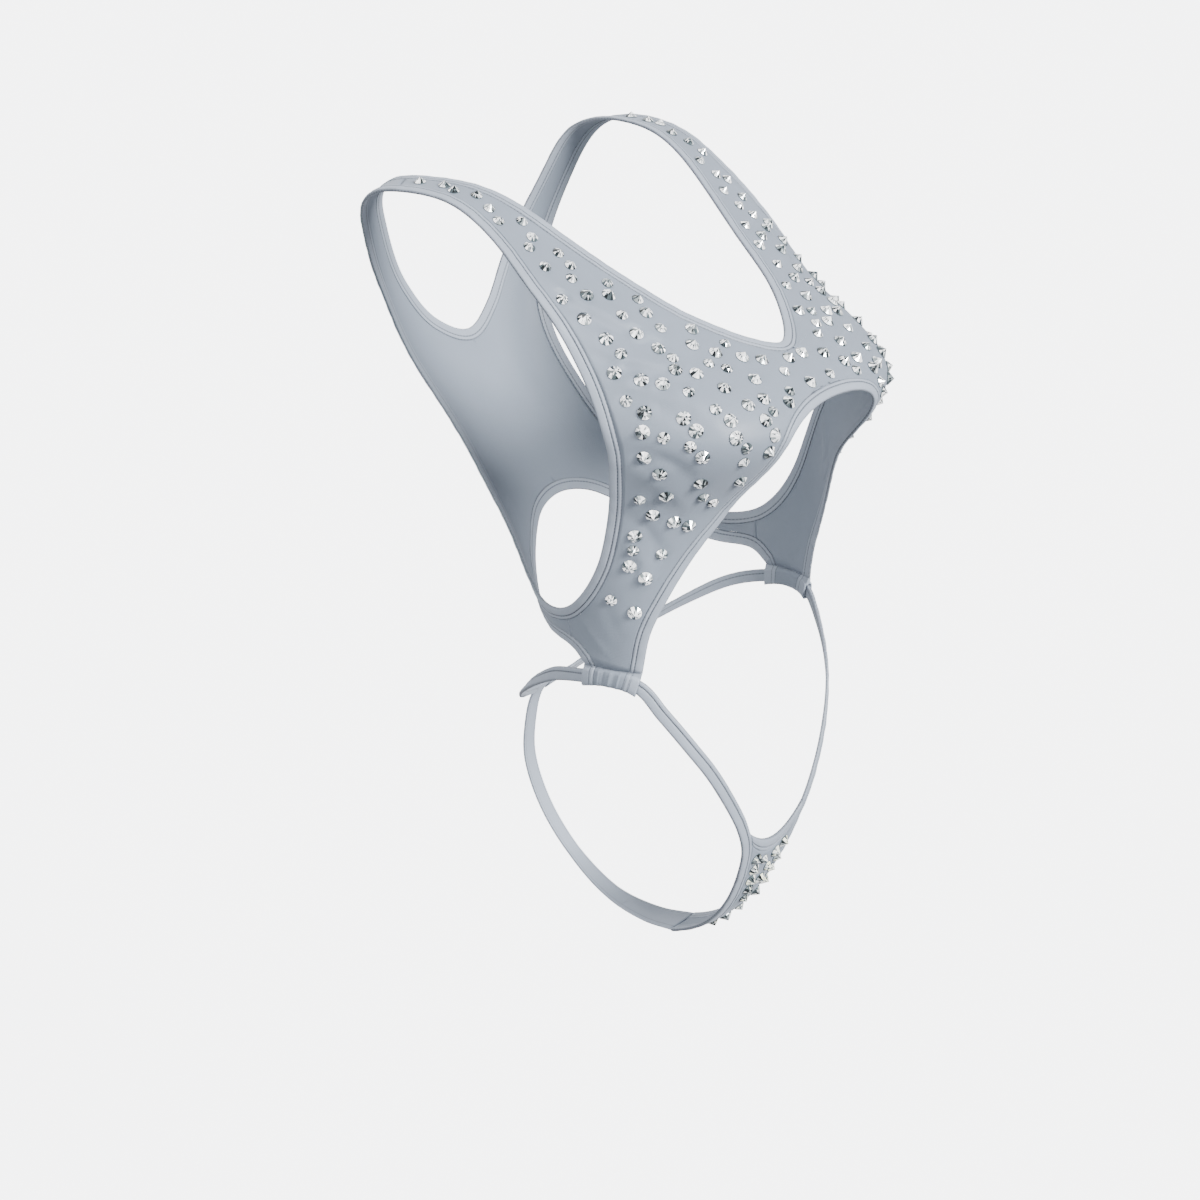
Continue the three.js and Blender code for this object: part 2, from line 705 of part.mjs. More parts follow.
// The front panel: straps, bust and side legs, to the casings
const corner = arm[ARM_FRONT];
const seamFoot = overBackArch[backArchMiddle + SIDE_SEAM_ON_ARCH];
const forward = (station) => settle(station.p.clone().add(new THREE.Vector3(0, -SEAM, 0)));
const frontOuter = [
  ...arm.slice(0, ARM_FRONT),
  forward(corner),
  ...between(forward(corner), forward(seamFoot), SEAM_STEPS),
  forward(seamFoot),
  ...overBackArch.slice(backArchMiddle + SIDE_SEAM_ON_ARCH + 1),
];
const frontInner = [
  ...neck.slice(0, NECK_FRONT + 1).reverse(),
  ...between(neck[0], overArch[archMiddle], FRONT_MIDDLE),
  ...overArch.slice(archMiddle),
];
const frontRows = panelRows(frontOuter, frontInner, FRONT_COLUMNS);
frontRows[0] = eased(frontRows[0], frontRows[1], SEAM);
const frontSeams = [
  frontOuter,
  frontInner.slice(0, NECK_FRONT + 1),
  frontInner.slice(NECK_FRONT + FRONT_MIDDLE),
];
const frontStones = stonesApart([
  ...stoneRows(frontRows, FRONT_STONES, STRAP_ROWS, 0),
  ...stoneRows(mirroredRows(frontRows), FRONT_STONES, STRAP_ROWS, 1),
], [...frontSeams, ...mirroredRows(frontSeams)]);
const frontWall = wall([frontRows, mirroredRows(frontRows)], 0, PANEL_WALL);
piece('front_panel', united(frontWall, frontStones), clothFinish);

// The back panel: straps, a plain back, and two bands round to the side seams
const backOuter = [arm[0], ...arm.slice(ARM_FRONT).reverse()];
const backInner = [
  ...neck.slice(NECK_FRONT, (neck.length / 2) + 1),
  ...between(neck[neck.length / 2], overBackArch[backArchMiddle], BACK_MIDDLE),
  ...overBackArch.slice(backArchMiddle, backArchMiddle + SIDE_SEAM_ON_ARCH + 1),
];
const backRows = panelRows(backOuter, backInner, BACK_COLUMNS);
piece('back_panel', wall([backRows, mirroredRows(backRows)], 0, PANEL_WALL), clothFinish);

// The bindings round the openings
piece('neckline_binding', strip(neckRing, neckAcross, BINDING_WIDTH, true), bindingFinish);
pair('armhole_binding', strip(armRing, armAcross, BINDING_WIDTH, true), bindingFinish);
piece('front_arch_binding', strip(frontArch, frontArchAcross, BINDING_WIDTH, false), bindingFinish);
piece('back_arch_binding', strip(backArch, backArchAcross, BINDING_WIDTH, false), bindingFinish);

// The hip straps, which bind the thong's legs too
const leg = stationsOf(LEG_EDGE, false);
const legAcross = acrossOf(leg, 1, false);
legAcross[0] = new THREE.Vector3(-1, 0, 0);
legAcross[leg.length - 1] = new THREE.Vector3(0, 0, 1);
pair('hip_strap', strip(leg, legAcross, STRAP_WIDTH, false), bindingFinish);

// The thong front between them
const inner = beside(leg, legAcross, STRAP_WIDTH + SEAM);
const sag = (i) => THONG_SAG * THREE.MathUtils.smoothstep(i, THONG_TOP - THONG_SAG_ROWS, THONG_TOP);
const thongSides = inner.slice(0, THONG_TOP + 2);
const thongRows = panelRows(thongSides, thongSides.map(mirrored), FRONT_COLUMNS, sag);
const thongPanel = thongRows.slice(0, THONG_TOP + 1);
const thongSeams = [thongSides, thongSides.map(mirrored), thongPanel[THONG_TOP]];
const thongStones = stonesApart(stoneRows(thongPanel, TRIANGLE_STONES, 0, 2), thongSeams);
piece('thong_front', united(wall([thongPanel], 0, PANEL_WALL), thongStones), clothFinish);

// Its top binding, from hip strap to hip strap
const thongTop = thongRows[THONG_TOP + 1];
const belowTop = eased(thongRows[THONG_TOP], thongTop, 2 * SEAM);
const topAcross = thongTop.map((station, j) => belowTop[j].p.clone().sub(station.p));
const topSections = thongTop.map((station, j) => {
  const width = topAcross[j].length();
  return stripSection(width).map(([distance, height]) => {
    const { p, n } = settle(station.p.clone().addScaledVector(topAcross[j], distance / width));
    return p.addScaledVector(n, height);
  });
});
piece('thong_top_binding', sweep(topSections, false), bindingFinish);

// The thong strap in the middle plane
const thongCurve = new THREE.CatmullRomCurve3(THONG_LINE.map(({ y, z }) => new THREE.Vector3(0, y, z)));
const thongCount = (THONG_LINE.length - 1) * THONG_STEPS;
const thongSections = Array.from({ length: thongCount + 1 }, (_, i) => {
  const p = thongCurve.getPoint(i / thongCount);
  const along = thongCurve.getTangent(i / thongCount);
  const n = new THREE.Vector3(0, along.z, -along.y);
  const row = Math.min(Math.floor(i / THONG_STEPS), THONG_LINE.length - 2);
  const { half } = THONG_LINE[row];
  const width = 2 * THREE.MathUtils.lerp(half, THONG_LINE[row + 1].half, i / THONG_STEPS - row);
  return stripSection(width).map(([x, height]) => new THREE.Vector3(x - width / 2, 0, 0)
    .add(p).addScaledVector(n, height));
});
piece('thong_strap', sweep(thongSections, false), bindingFinish);

// The casings: the panel's end folded round the hip strap, slightly gathered. Each section runs
// down from the seam line at the panel's foot, and its heights are those across the strap.
const casingSteps = (row) => (row >= CASING_FIRST && row < CASING_LAST ? CASING_STEPS : 0);
const casingTable = LEG_EDGE.map((row, i) => ({ ...row, steps: i === CASING_LAST ? 1 : casingSteps(i) }));
const casingLine = stationsOf(casingTable, false).slice(0, -1);
const casingAcross = acrossOf(casingLine, 1, false);
const casingMiddle = beside(casingLine, casingAcross, STRAP_WIDTH / 2);
const footFront = frontArch[frontArch.length - 1].p;
const footBack = backArch[backArch.length - 1].p;
const casingRings = casingMiddle.map(({ p, n }, i) => {
  const share = i / (casingMiddle.length - 1);
  const foot = settle(footFront.clone().lerp(footBack, share));
  foot.p.z = CASING_TOP;
  const up = foot.p.clone().sub(p).normalize();
  const lean = up.dot(casingAcross[i]);
  const swell = RUCHE * Math.sin(2 * Math.PI * RUCHE_WAVES * share);
  const spot = ([height, depth], lift) => (height === null
    ? foot.p.clone().addScaledVector(foot.n, depth)
    : p.clone().addScaledVector(up, height / lean).addScaledVector(n, depth + lift));
  return {
    outer: CASING_OUTLINE.map(({ outer }) => spot(outer, outer[1] > 0 ? swell : 0)),
    bore: CASING_OUTLINE.map(({ bore }) => spot(bore, 0)),
  };
});

/** A tube with a bore: rings outside and inside, joined at both ends. */
function boredTube(rings) {
  const size = rings[0].outer.length;
  const positions = rings.flatMap(({ outer, bore }) => [...outer, ...bore].flatMap((p) => p.toArray()));
  const index = [];
  const quad = (a, b, c, d) => index.push(a, b, c, a, c, d);
  for (let k = 0; k < size; k += 1) {
    const next = (k + 1) % size;
    for (let i = 0; i < rings.length - 1; i += 1) {
      const [here, there] = [2 * size * i, 2 * size * (i + 1)];
      quad(here + k, here + next, there + next, there + k);
      quad(here + size + next, here + size + k, there + size + k, there + size + next);
    }
    const end = 2 * size * (rings.length - 1);
    quad(k, size + k, size + next, next);
    quad(end + next, end + size + next, end + size + k, end + k);
  }
  return outward(positions, index);
}
pair('casing', boredTube(casingRings), clothFinish);

export default group;
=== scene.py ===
"""A rhinestone cutout bodysuit in its worn form: satin stretch cloth, folded bindings, clear stones."""
import math
import bmesh
import bpy
import numpy as np
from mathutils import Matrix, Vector


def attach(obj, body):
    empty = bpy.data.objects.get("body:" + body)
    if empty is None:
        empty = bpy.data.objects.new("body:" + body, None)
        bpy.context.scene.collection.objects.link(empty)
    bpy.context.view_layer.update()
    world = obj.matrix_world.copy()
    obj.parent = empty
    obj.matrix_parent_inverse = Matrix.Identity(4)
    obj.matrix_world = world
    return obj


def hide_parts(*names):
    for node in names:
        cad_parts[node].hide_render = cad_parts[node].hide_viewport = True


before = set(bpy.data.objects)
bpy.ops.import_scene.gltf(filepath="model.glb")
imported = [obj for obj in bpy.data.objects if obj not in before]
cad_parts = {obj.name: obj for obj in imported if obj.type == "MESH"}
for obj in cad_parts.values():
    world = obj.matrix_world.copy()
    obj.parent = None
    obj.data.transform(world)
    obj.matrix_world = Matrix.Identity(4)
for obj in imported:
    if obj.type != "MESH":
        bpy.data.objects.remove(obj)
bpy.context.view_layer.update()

# The studio: a camera at the wearer's right and a little above, a large soft window straight
# over the front, a weaker and wider one at the left, a third behind, and a pale bluish sky.
CAMERA_ROUND = math.radians(-55)
CAMERA_RISE = math.radians(21.5)
CAMERA_AWAY = 2.155
CAMERA_TARGET = Vector((0, -0.058, -0.322))
CAMERA_LENS = 89.1
CAMERA_SENSOR = 36
CAMERA_SEES = 100
WINDOW_AWAY = 3


def towards(round_angle, rise_angle):
    """The direction at an angle round from the front and an angle above the level."""
    return Vector((
        math.sin(round_angle) * math.cos(rise_angle),
        -math.cos(round_angle) * math.cos(rise_angle),
        math.sin(rise_angle),
    ))


def aimed(thing, place, target):
    """Puts a camera or light at a place and turns its -Z to the target."""
    thing.location = place
    thing.rotation_euler = (target - place).to_track_quat("-Z", "Y").to_euler()
    bpy.context.collection.objects.link(thing)


camera_data = bpy.data.cameras.new("camera")
camera_data.lens = CAMERA_LENS
camera_data.sensor_width = CAMERA_SENSOR
camera_data.clip_end = CAMERA_SEES
camera = bpy.data.objects.new("camera", camera_data)
aimed(camera, CAMERA_TARGET + CAMERA_AWAY * towards(CAMERA_ROUND, CAMERA_RISE), CAMERA_TARGET)
bpy.context.scene.camera = camera

# each window's turn round from the front, rise above the level, spread in degrees, and power
for window, turn, rise, spread, power in (
    ("window_over_front", 0, 29, 24, 7.9),
    ("window_at_left", -95, 20, 50, 2.4),
    ("window_behind", 165, 45, 60, 1.4),
):
    light = bpy.data.lights.new(window, "SUN")
    light.angle = math.radians(spread)
    light.energy = power
    direction = towards(math.radians(turn), math.radians(rise))
    aimed(bpy.data.objects.new(window, light), CAMERA_TARGET + WINDOW_AWAY * direction, CAMERA_TARGET)

sky = bpy.data.worlds.new("studio")
sky.use_nodes = True
sky.node_tree.nodes["Background"].inputs["Color"].default_value = (0.93, 0.95, 1.0, 1)
sky.node_tree.nodes["Background"].inputs["Strength"].default_value = 0.55
bpy.context.scene.world = sky

# The front panel: satin stretch cloth in one piece, with both straps, the bust, the bridge
# between them and the two side legs down to the casings. Its shape is that of the general
# form it is stretched over, whose rings and edges are given here in millimetres.
PANEL_WALL = 1.4
BINDING_WIDTH = 9
FINE = 5
SETTLING_STEPS = 9
BULGE = 0.35
ROUNDING = 16
SHOULDER_TOP = 6
CROTCH_FLOOR = -566
BUST = {"rise": 27, "x": 96, "spread": 50, "z": -134, "above": 60, "below": 56, "dip": 0.12}
FULLNESS = {"rise": 10, "spread": 26, "z": -540, "above": 45, "below": 30}
# height, half width, front y, back y, squareness
RINGS = np.array([
    (-610, 150, -110, 30, 2.2),
    (-560, 165, -150, 50, 2.2),
    (-510, 172, -190, 54, 2.2),
    (-460, 165, -212, 40, 2.1),
    (-400, 140, -220, -8, 2.1),
    (-330, 117, -221, -49, 2.1),
    (-260, 124, -216, -30, 2.2),
    (-200, 137, -215, 12, 2.4),
    (-140, 154, -226, 56, 2.6),
    (-90, 168, -170, 72, 2.4),
    (-40, 205, -107, 66, 2.2),
    (0, 195, -63, 60, 2.1),
    (60, 120, -10, 30, 2.1),
])
# x, y, z and the number of sections to the next row, for each edge
NECK_EDGE = [
    (0, -205, -103, 2), (18, -197, -98, 3), (49, -165, -79, 3), (69, -123, -54, 3),
    (84, -87, -30, 2), (98, -45, -5, 2), (105, -18, 2, 2), (110, 18, 2, 2),
    (103, 45, -17, 3), (81, 63, -57, 2), (57, 66, -92, 2), (30, 60, -122, 2), (0, 55, -135, 0),
]
ARMHOLE_EDGE = [
    (141, 12, 0, 3), (137, -32, -4, 3), (137, -66, -22, 3), (140, -97, -49, 3),
    (140, -127, -81, 4), (143, -151, -115, 3), (142, -163, -146, 3), (135, -160, -175, 3),
    (127, -152, -208, 3), (125, -143, -238, 2), (122, -127, -264, 2), (119, -112, -276, 3),
    (110, -88, -279, 3), (99, -62, -267, 3), (86, -24, -236, 3), (78, 12, -200, 3),
    (79, 42, -158, 3), (92, 60, -112, 3), (112, 63, -68, 2), (133, 46, -22, 2),
]
FRONT_ARCH_EDGE = [
    (0, -250, -131, 2), (30, -249, -136, 2), (53, -245, -148, 2), (62, -229, -177, 2),
    (72, -210, -205, 2), (86, -196, -230, 2), (99, -184, -259, 2), (106, -174, -286, 3),
    (108, -169, -314.6, 0),
]
BACK_ARCH_EDGE = [
    (0, -20, -248, 2), (30, -24, -254, 2), (60, -40, -272, 2), (84, -62, -289, 2),
    (104, -92, -301, 2), (115, -115, -305, 2), (117, -127, -314.6, 0),
]
FRONT_COLUMNS = 48
SPACING_ROUNDS = 4
NECK_FRONT = 17
ARM_FRONT = 32
SEAM_STEPS = 2
SIDE_SEAM_ON_ARCH = 10
FRONT_MIDDLE = 2
# tension folds: place along the panel in sections and share of its width at both ends,
# width of the fold and its height, below zero for a trough; the other side has every second
# one, a little lower
TWIN_FOLDS = 0.8
FOLD_PLACES = 25
FOLD_FADE = 0.6
FRONT_FOLDS = [
    (9.2, 0.06, 14.2, 0.46, 5.5, -2.2),
    (9.0, 0.10, 13.4, 0.58, 6.5, 1.9),
    (13.4, 0.03, 17.2, 0.33, 4.5, -2.0),
    (13.0, 0.05, 16.6, 0.42, 5.5, 1.7),
    (16.2, 0.02, 19.6, 0.36, 5.0, -1.9),
    (15.6, 0.03, 18.6, 0.40, 6.0, 1.6),
    (19.4, 0.02, 23.4, 0.48, 5.0, -1.7),
    (20.6, 0.03, 25.6, 0.55, 6.0, 1.4),
    (24.0, 0.04, 28.8, 0.62, 4.5, -1.3),
    (26.0, 0.05, 30.4, 0.72, 5.0, 1.2),
    (29.0, 0.10, 33.6, 0.80, 4.0, -0.45),
    (31.6, 0.15, 35.6, 0.62, 3.5, 0.4),
    (33.2, 0.90, 35.8, 0.36, 3.5, -0.4),
    (3.0, 0.92, 9.4, 0.78, 5.0, -0.5),
    (5.0, 0.12, 10.4, 0.16, 4.5, 0.5),
    (10.4, 0.96, 15.2, 0.70, 6.0, 0.5),
]


def unit(vectors):
    """Vectors over their own lengths."""
    return vectors / np.maximum(np.linalg.norm(vectors, axis=-1, keepdims=True), 1e-12)


def off_form(p):
    """How far points lie outside the form: each level ring is |x / half|^k + |y / depth|^k = 1,
    with its sizes by cubic curves between the table's rows. The front is moved out by a bell at
    the bust and a bell at its foot, and a soft maximum joins a level shoulder and crotch plane."""
    x, y, z = np.abs(p[..., 0]), p[..., 1], np.clip(p[..., 2], RINGS[0, 0], RINGS[-1, 0])
    heights, sizes = RINGS[:, 0], RINGS[:, 1:]
    rates = np.empty_like(sizes)
    rates[1:-1] = (sizes[2:] - sizes[:-2]) / (heights[2:] - heights[:-2])[:, None]
    rates[0] = (sizes[1] - sizes[0]) / (heights[1] - heights[0])
    rates[-1] = (sizes[-1] - sizes[-2]) / (heights[-1] - heights[-2])
    i = np.clip(np.searchsorted(heights, z, side="right") - 1, 0, len(heights) - 2)
    span = (heights[i + 1] - heights[i])[..., None]
    t = (z[..., None] - heights[i][..., None]) / span
    ring = ((2 * t**3 - 3 * t**2 + 1) * sizes[i] + (t**3 - 2 * t**2 + t) * span * rates[i]
            + (3 * t**2 - 2 * t**3) * sizes[i + 1] + (t**3 - t**2) * span * rates[i + 1])
    half, front, back, square = np.moveaxis(ring, -1, 0)
    reach = np.where(p[..., 2] > BUST["z"], BUST["above"], BUST["below"])
    crest = np.where(
        x > BUST["x"],
        np.exp(-((x - BUST["x"]) / BUST["spread"]) ** 2),
        1 - BUST["dip"] * (1 - np.minimum(x / BUST["x"], 1) ** 2) ** 2,
    )
    front = front - BUST["rise"] * crest * np.exp(-((p[..., 2] - BUST["z"]) / reach) ** 2)
    fade = np.where(p[..., 2] > FULLNESS["z"], FULLNESS["above"], FULLNESS["below"])
    full = np.exp(-((x / FULLNESS["spread"]) ** 2) - ((p[..., 2] - FULLNESS["z"]) / fade) ** 2)
    front = front - FULLNESS["rise"] * full
    depth = (back - front) / 2
    turned = (x / half) ** square + (np.abs(y - (front + back) / 2) / depth) ** square
    sides = np.stack([
        (np.maximum(turned, 1e-9) ** (1 / square) - 1) * depth,
        p[..., 2] - SHOULDER_TOP,
        CROTCH_FLOOR - p[..., 2],
    ])
    most = sides.max(axis=0)
    return most + ROUNDING * np.log(np.exp((sides - most) / ROUNDING).sum(axis=0))


def slope_of(p):
    """The slope of off_form by differences of half a millimetre each way."""
    steps = 0.5 * np.eye(3)
    return np.stack([off_form(p + step) - off_form(p - step) for step in steps], axis=-1)


def settled(p):
    """Points brought onto the form by Newton steps along its slope, and the directions out."""
    for _ in range(SETTLING_STEPS):
        slope = slope_of(p)
        rate = np.maximum((slope**2).sum(axis=-1, keepdims=True), 1e-6)
        p = p - slope * (off_form(p)[..., None] / rate)
    return p, unit(slope_of(p))


def along_rows(rows, places, closed):
    """Points on the centripetal Catmull-Rom curve through rows, at places counted in rows."""
    points = np.array(rows, float)[:, :3]
    if closed:
        points = np.vstack([points[-1:], points, points[:2]])
    else:
        points = np.vstack([2 * points[:1] - points[1:2], points, 2 * points[-1:] - points[-2:-1]])
    i = np.minimum(places.astype(int), len(points) - 4)
    w = (places - i)[:, None]
    a, b, c, d = (points[i + k] for k in range(4))
    p, q, r = (np.sqrt(np.linalg.norm(v - u, axis=1, keepdims=True)) for u, v in ((a, b), (b, c), (c, d)))
    start = ((b - a) / p - (c - a) / (p + q) + (c - b) / q) * q
    end = ((c - b) / q - (d - b) / (q + r) + (d - c) / r) * q
    return (b + start * w + (3 * (c - b) - 2 * start - end) * w**2
            + (2 * (b - c) + start + end) * w**3)


def edge_line(rows, closed, fine=FINE):
    """Stations on the form along an edge: each section of the table is cut into finer ones."""
    steps = [row[3] * fine for row in rows]
    places = np.concatenate([i + np.arange(n) / n for i, n in enumerate(steps) if n])
    if not closed:
        places = np.append(places, len(rows) - 1.0)
    return settled(along_rows(rows, places, closed))


def both_sides(rows):
    """An edge of the left side together with its mirrored twin, from one end to the other."""
    rows = np.array(rows, float)
    back = rows * (-1, 1, 1, 1)
    back[1:, 3] = rows[:-1, 3]
    back[0, 3] = 0
    back = back[::-1]
    if rows[-1, 0] == 0:
        rows[-1, 3] = rows[-2, 3]
        whole = np.vstack([rows, back[1:-1]])
    else:
        whole = np.vstack([back[:-1], rows])
    return [(x, y, z, int(steps)) for x, y, z, steps in whole]


def across_line(line, side, closed):
    """Unit directions across an edge and level with the form: out of it crossed with along."""
    p, n = line
    if closed:
        along = np.roll(p, -1, axis=0) - np.roll(p, 1, axis=0)
    else:
        along = np.gradient(p, axis=0)
    return side * unit(np.cross(n, along))


def across_level(line, side):
    """The same, with both ends of the edge cut level."""
    across = across_line(line, side, False)
    for end in (0, -1):
        level = unit(np.cross(line[1][end], (0, 0, 1)))
        across[end] = level * np.sign(level @ across[end])
    return across


def beside(line, across, distance):
    """A line on the form at a distance beside another."""
    return settled(line[0] + across * distance)


def joined(*lines):
    """Lines of points and directions, one after another."""
    return tuple(np.concatenate(parts) for parts in zip(*lines))


def part_of(line, first, last=None):
    """The stations of a line from one place to another, both counted in the table's sections."""
    start = first * FINE
    stop = None if last is None else last * FINE + 1
    return line[0][start:stop], line[1][start:stop]


def reversed_line(line):
    """The same line from its other end."""
    return line[0][::-1], line[1][::-1]


def between(start, end, sections):
    """Stations on the form between two points, without the points themselves."""
    t = (np.arange(1, sections * FINE) / (sections * FINE))[:, None]
    return settled(start + (end - start) * t)


def panel_grid(outer, inner, columns, sag=0.0):
    """A cloth surface of rows between two lines: straight chords raised by a parabola where the
    form turns, brought onto the form, and spaced evenly along each row."""
    (po, no), (pi, ni) = outer, inner
    share = np.linspace(0, 1, columns + 1)
    arch = (4 * share * (1 - share))[None, :, None]
    turn = np.maximum(0, 1 - (no * ni).sum(axis=1))
    lift = unit(no + ni) * (BULGE * np.linalg.norm(pi - po, axis=1) * turn)[:, None]
    p = po[:, None] + (pi - po)[:, None] * share[None, :, None] + lift[:, None] * arch
    p = p - np.array((0, 0, 1)) * np.broadcast_to(sag, len(po))[:, None, None] * arch
    p, n = settled(p)
    for _ in range(SPACING_ROUNDS):
        far = np.cumsum(np.linalg.norm(np.diff(p, axis=1, prepend=p[:, :1]), axis=2), axis=1)
        want = far[:, -1:] * share
        k = np.clip((far[:, :, None] < want[:, None, :]).sum(axis=1) - 1, 0, columns - 1)
        low, high = np.take_along_axis(far, k, 1), np.take_along_axis(far, k + 1, 1)
        t = ((want - low) / np.maximum(high - low, 1e-9))[..., None]
        here, there = (np.take_along_axis(p, j[..., None], 1) for j in (k, k + 1))
        p, n = settled(here + (there - here) * t)
    p[:, 0], n[:, 0], p[:, -1], n[:, -1] = po, no, pi, ni
    return p, n


def on_grid(grid, at, share):
    """Points on the form at places along a grid, in sections, and at shares of its width."""
    p = grid[0]
    a = np.clip(np.asarray(at, float) * FINE, 0, len(p) - 1.001)
    b = np.clip(np.asarray(share, float) * (p.shape[1] - 1), 0, p.shape[1] - 1.001)
    i, j = a.astype(int), b.astype(int)
    t, u = (a - i)[..., None], (b - j)[..., None]
    near = p[i, j] * (1 - u) + p[i, j + 1] * u
    far = p[i + 1, j] * (1 - u) + p[i + 1, j + 1] * u
    return settled(near * (1 - t) + far * t)


def folded(grid, folds):
    """The height of the folds over a grid: each is a bell across its line, which is a parabola
    through its ends and its middle on the form, and it fades at both ends as a power of a sine."""
    p = grid[0]
    height = np.zeros(p.shape[:2])
    for at, share, to_at, to_share, width, rise in folds:
        ends, _ = on_grid(grid, [at, to_at], [share, to_share])
        middle, _ = on_grid(grid, (at + to_at) / 2, (share + to_share) / 2)
        bend = 2 * middle - ends.mean(axis=0)
        best = np.full(p.shape[:2], 1e9)
        place = np.zeros(p.shape[:2])
        for t in np.linspace(0, 1, FOLD_PLACES):
            spot = (1 - t) ** 2 * ends[0] + 2 * t * (1 - t) * bend + t**2 * ends[1]
            away = np.linalg.norm(p - spot, axis=2)
            place = np.where(away < best, t, place)
            best = np.minimum(best, away)
        fade = np.sin(np.pi * np.clip(place, 0.02, 0.98)) ** FOLD_FADE
        height += rise * np.exp(-(best / width) ** 2) * fade
    return height


def mirrored(line, side=-1):
    """A line or grid at the other side of the middle, or at side 1 as it is."""
    return line[0] * (side, 1, 1), line[1] * (side, 1, 1)


def put_mesh(name, points, faces, uvs=None, smooth=True, sharp=50):
    """A mesh object at the origin from points in millimetres, smooth up to a sharp angle."""
    mesh = bpy.data.meshes.new(name)
    mesh.from_pydata((np.asarray(points) / 1000).tolist(), [], np.asarray(faces).tolist())
    if uvs is not None:
        layer = mesh.uv_layers.new(name="UVMap")
        corners = np.empty(len(mesh.loops), np.int32)
        mesh.loops.foreach_get("vertex_index", corners)
        layer.data.foreach_set("uv", np.asarray(uvs, np.float32)[corners].ravel())
    mesh.polygons.foreach_set("use_smooth", np.full(len(mesh.polygons), smooth))
    mesh.update()
    if smooth:
        mesh.set_sharp_from_angle(angle=math.radians(sharp))
    piece = bpy.data.objects.new(name, mesh)
    bpy.context.collection.objects.link(piece)
    return piece


def closed_up(piece, merge=0, fills=None):
    """Joins a mesh's points that lie no further apart than a distance in metres. Where a test of
    open edges is given, it fills the holes that pass and turns the faces outwards."""
    opened = bmesh.new()
    opened.from_mesh(piece.data)
    if merge:
        bmesh.ops.remove_doubles(opened, verts=opened.verts, dist=merge)
    if fills:
        bmesh.ops.holes_fill(opened, edges=[e for e in opened.edges if e.is_boundary and fills(e)])
        bmesh.ops.recalc_face_normals(opened, faces=opened.faces)
    opened.to_mesh(piece.data)
    opened.free()


def grid_faces(rows, columns, first=0, flip=False):
    """Quads between neighbouring rows and columns of a grid."""
    i, j = np.meshgrid(np.arange(rows - 1), np.arange(columns - 1), indexing="ij")
    a = (first + i * columns + j).ravel()
    quads = np.stack([a, a + 1, a + columns + 1, a + columns], axis=1)
    return quads[:, ::-1] if flip else quads


def cloth_wall(name, grids, heights):
    """A closed cloth wall over grids that share their border points: the outer surface stands
    over the form by the thickness and the folds, and the wall is filled inwards. UV holds the
    distance along and across the cloth in metres."""
    points, faces, uvs = [], [], []
    for (p, n), height in zip(grids, heights):
        rows, columns = p.shape[:2]
        top = p + n * (PANEL_WALL + height)[..., None]
        face = np.cross(top[1, 0] - top[0, 0], top[0, 1] - top[0, 0]) @ n[0, 0]
        faces.append(grid_faces(rows, columns, sum(len(q) for q in points), flip=face > 0))
        points.append(top.reshape(-1, 3))
        along = np.cumsum(np.linalg.norm(np.diff(p, axis=0, prepend=p[:1]), axis=2), axis=0)
        across = np.cumsum(np.linalg.norm(np.diff(p, axis=1, prepend=p[:, :1]), axis=2), axis=1)
        along = np.broadcast_to(along.mean(axis=1, keepdims=True), along.shape)
        uvs.append(np.stack([along, across], axis=2).reshape(-1, 2) / 1000)
    piece = put_mesh(name, np.concatenate(points), np.concatenate(faces), np.concatenate(uvs))
    closed_up(piece, merge=2e-5)
    solid = piece.modifiers.new("wall", "SOLIDIFY")
    solid.thickness = PANEL_WALL / 1000
    solid.offset = -1
    solid.use_even_offset = False
    return piece


# the cloth's colour laid flat and folded, the dark of a stitched row, which also paints the shadow lines
# along the bindings' edges, and the length of a stitch and of a knitted wale in metres
CLOTH = (0.245, 0.285, 0.345)
CLOTH_BINDING = (0.345, 0.39, 0.46)
STITCH_AND_PAINTED_SHADOW = (0.055, 0.062, 0.075, 1)
STITCH = 0.0026
WALE = 0.0011


class Wire:
    """A number on its way through a material: each operator adds the Math node of its name."""

    def __init__(self, socket):
        self.socket = socket

    def maths(self, operation, *terms, clamp=False):
        """The Math node of an operation on wires or values, held to 0 and 1 if it is clamped."""
        node = self.socket.id_data.nodes.new("ShaderNodeMath")
        node.operation = operation
        node.use_clamp = clamp
        for target, term in zip(node.inputs, terms):
            lead(target, term)
        return Wire(node.outputs[0])

    def __add__(self, other):
        return self.maths("ADD", self, other)

    def __sub__(self, other):
        return self.maths("SUBTRACT", self, other)

    def __rsub__(self, other):
        return self.maths("SUBTRACT", other, self)

    def __mul__(self, other):
        return self.maths("MULTIPLY", self, other)

    def __truediv__(self, other):
        return self.maths("DIVIDE", self, other)

    __radd__ = __add__
    __rmul__ = __mul__

    def __abs__(self):
        return self.maths("ABSOLUTE", self)

    def sine(self):
        return self.maths("SINE", self)

    def near(self, centre, reach):
        """One at the centre, falling straight to zero at the reach."""
        return self.maths("SUBTRACT", 1, abs(self - centre) / reach, clamp=True)

    def within(self, centre, reach):
        """One up to the reach from the centre, and zero just past it."""
        return self.maths("MULTIPLY", reach - abs(self - centre), 100, clamp=True)


def lead(target, value):
    """Sets a socket to a value, or links a wire to it."""
    if isinstance(value, Wire):
        target.id_data.links.new(value.socket, target)
    else:
        target.default_value = value


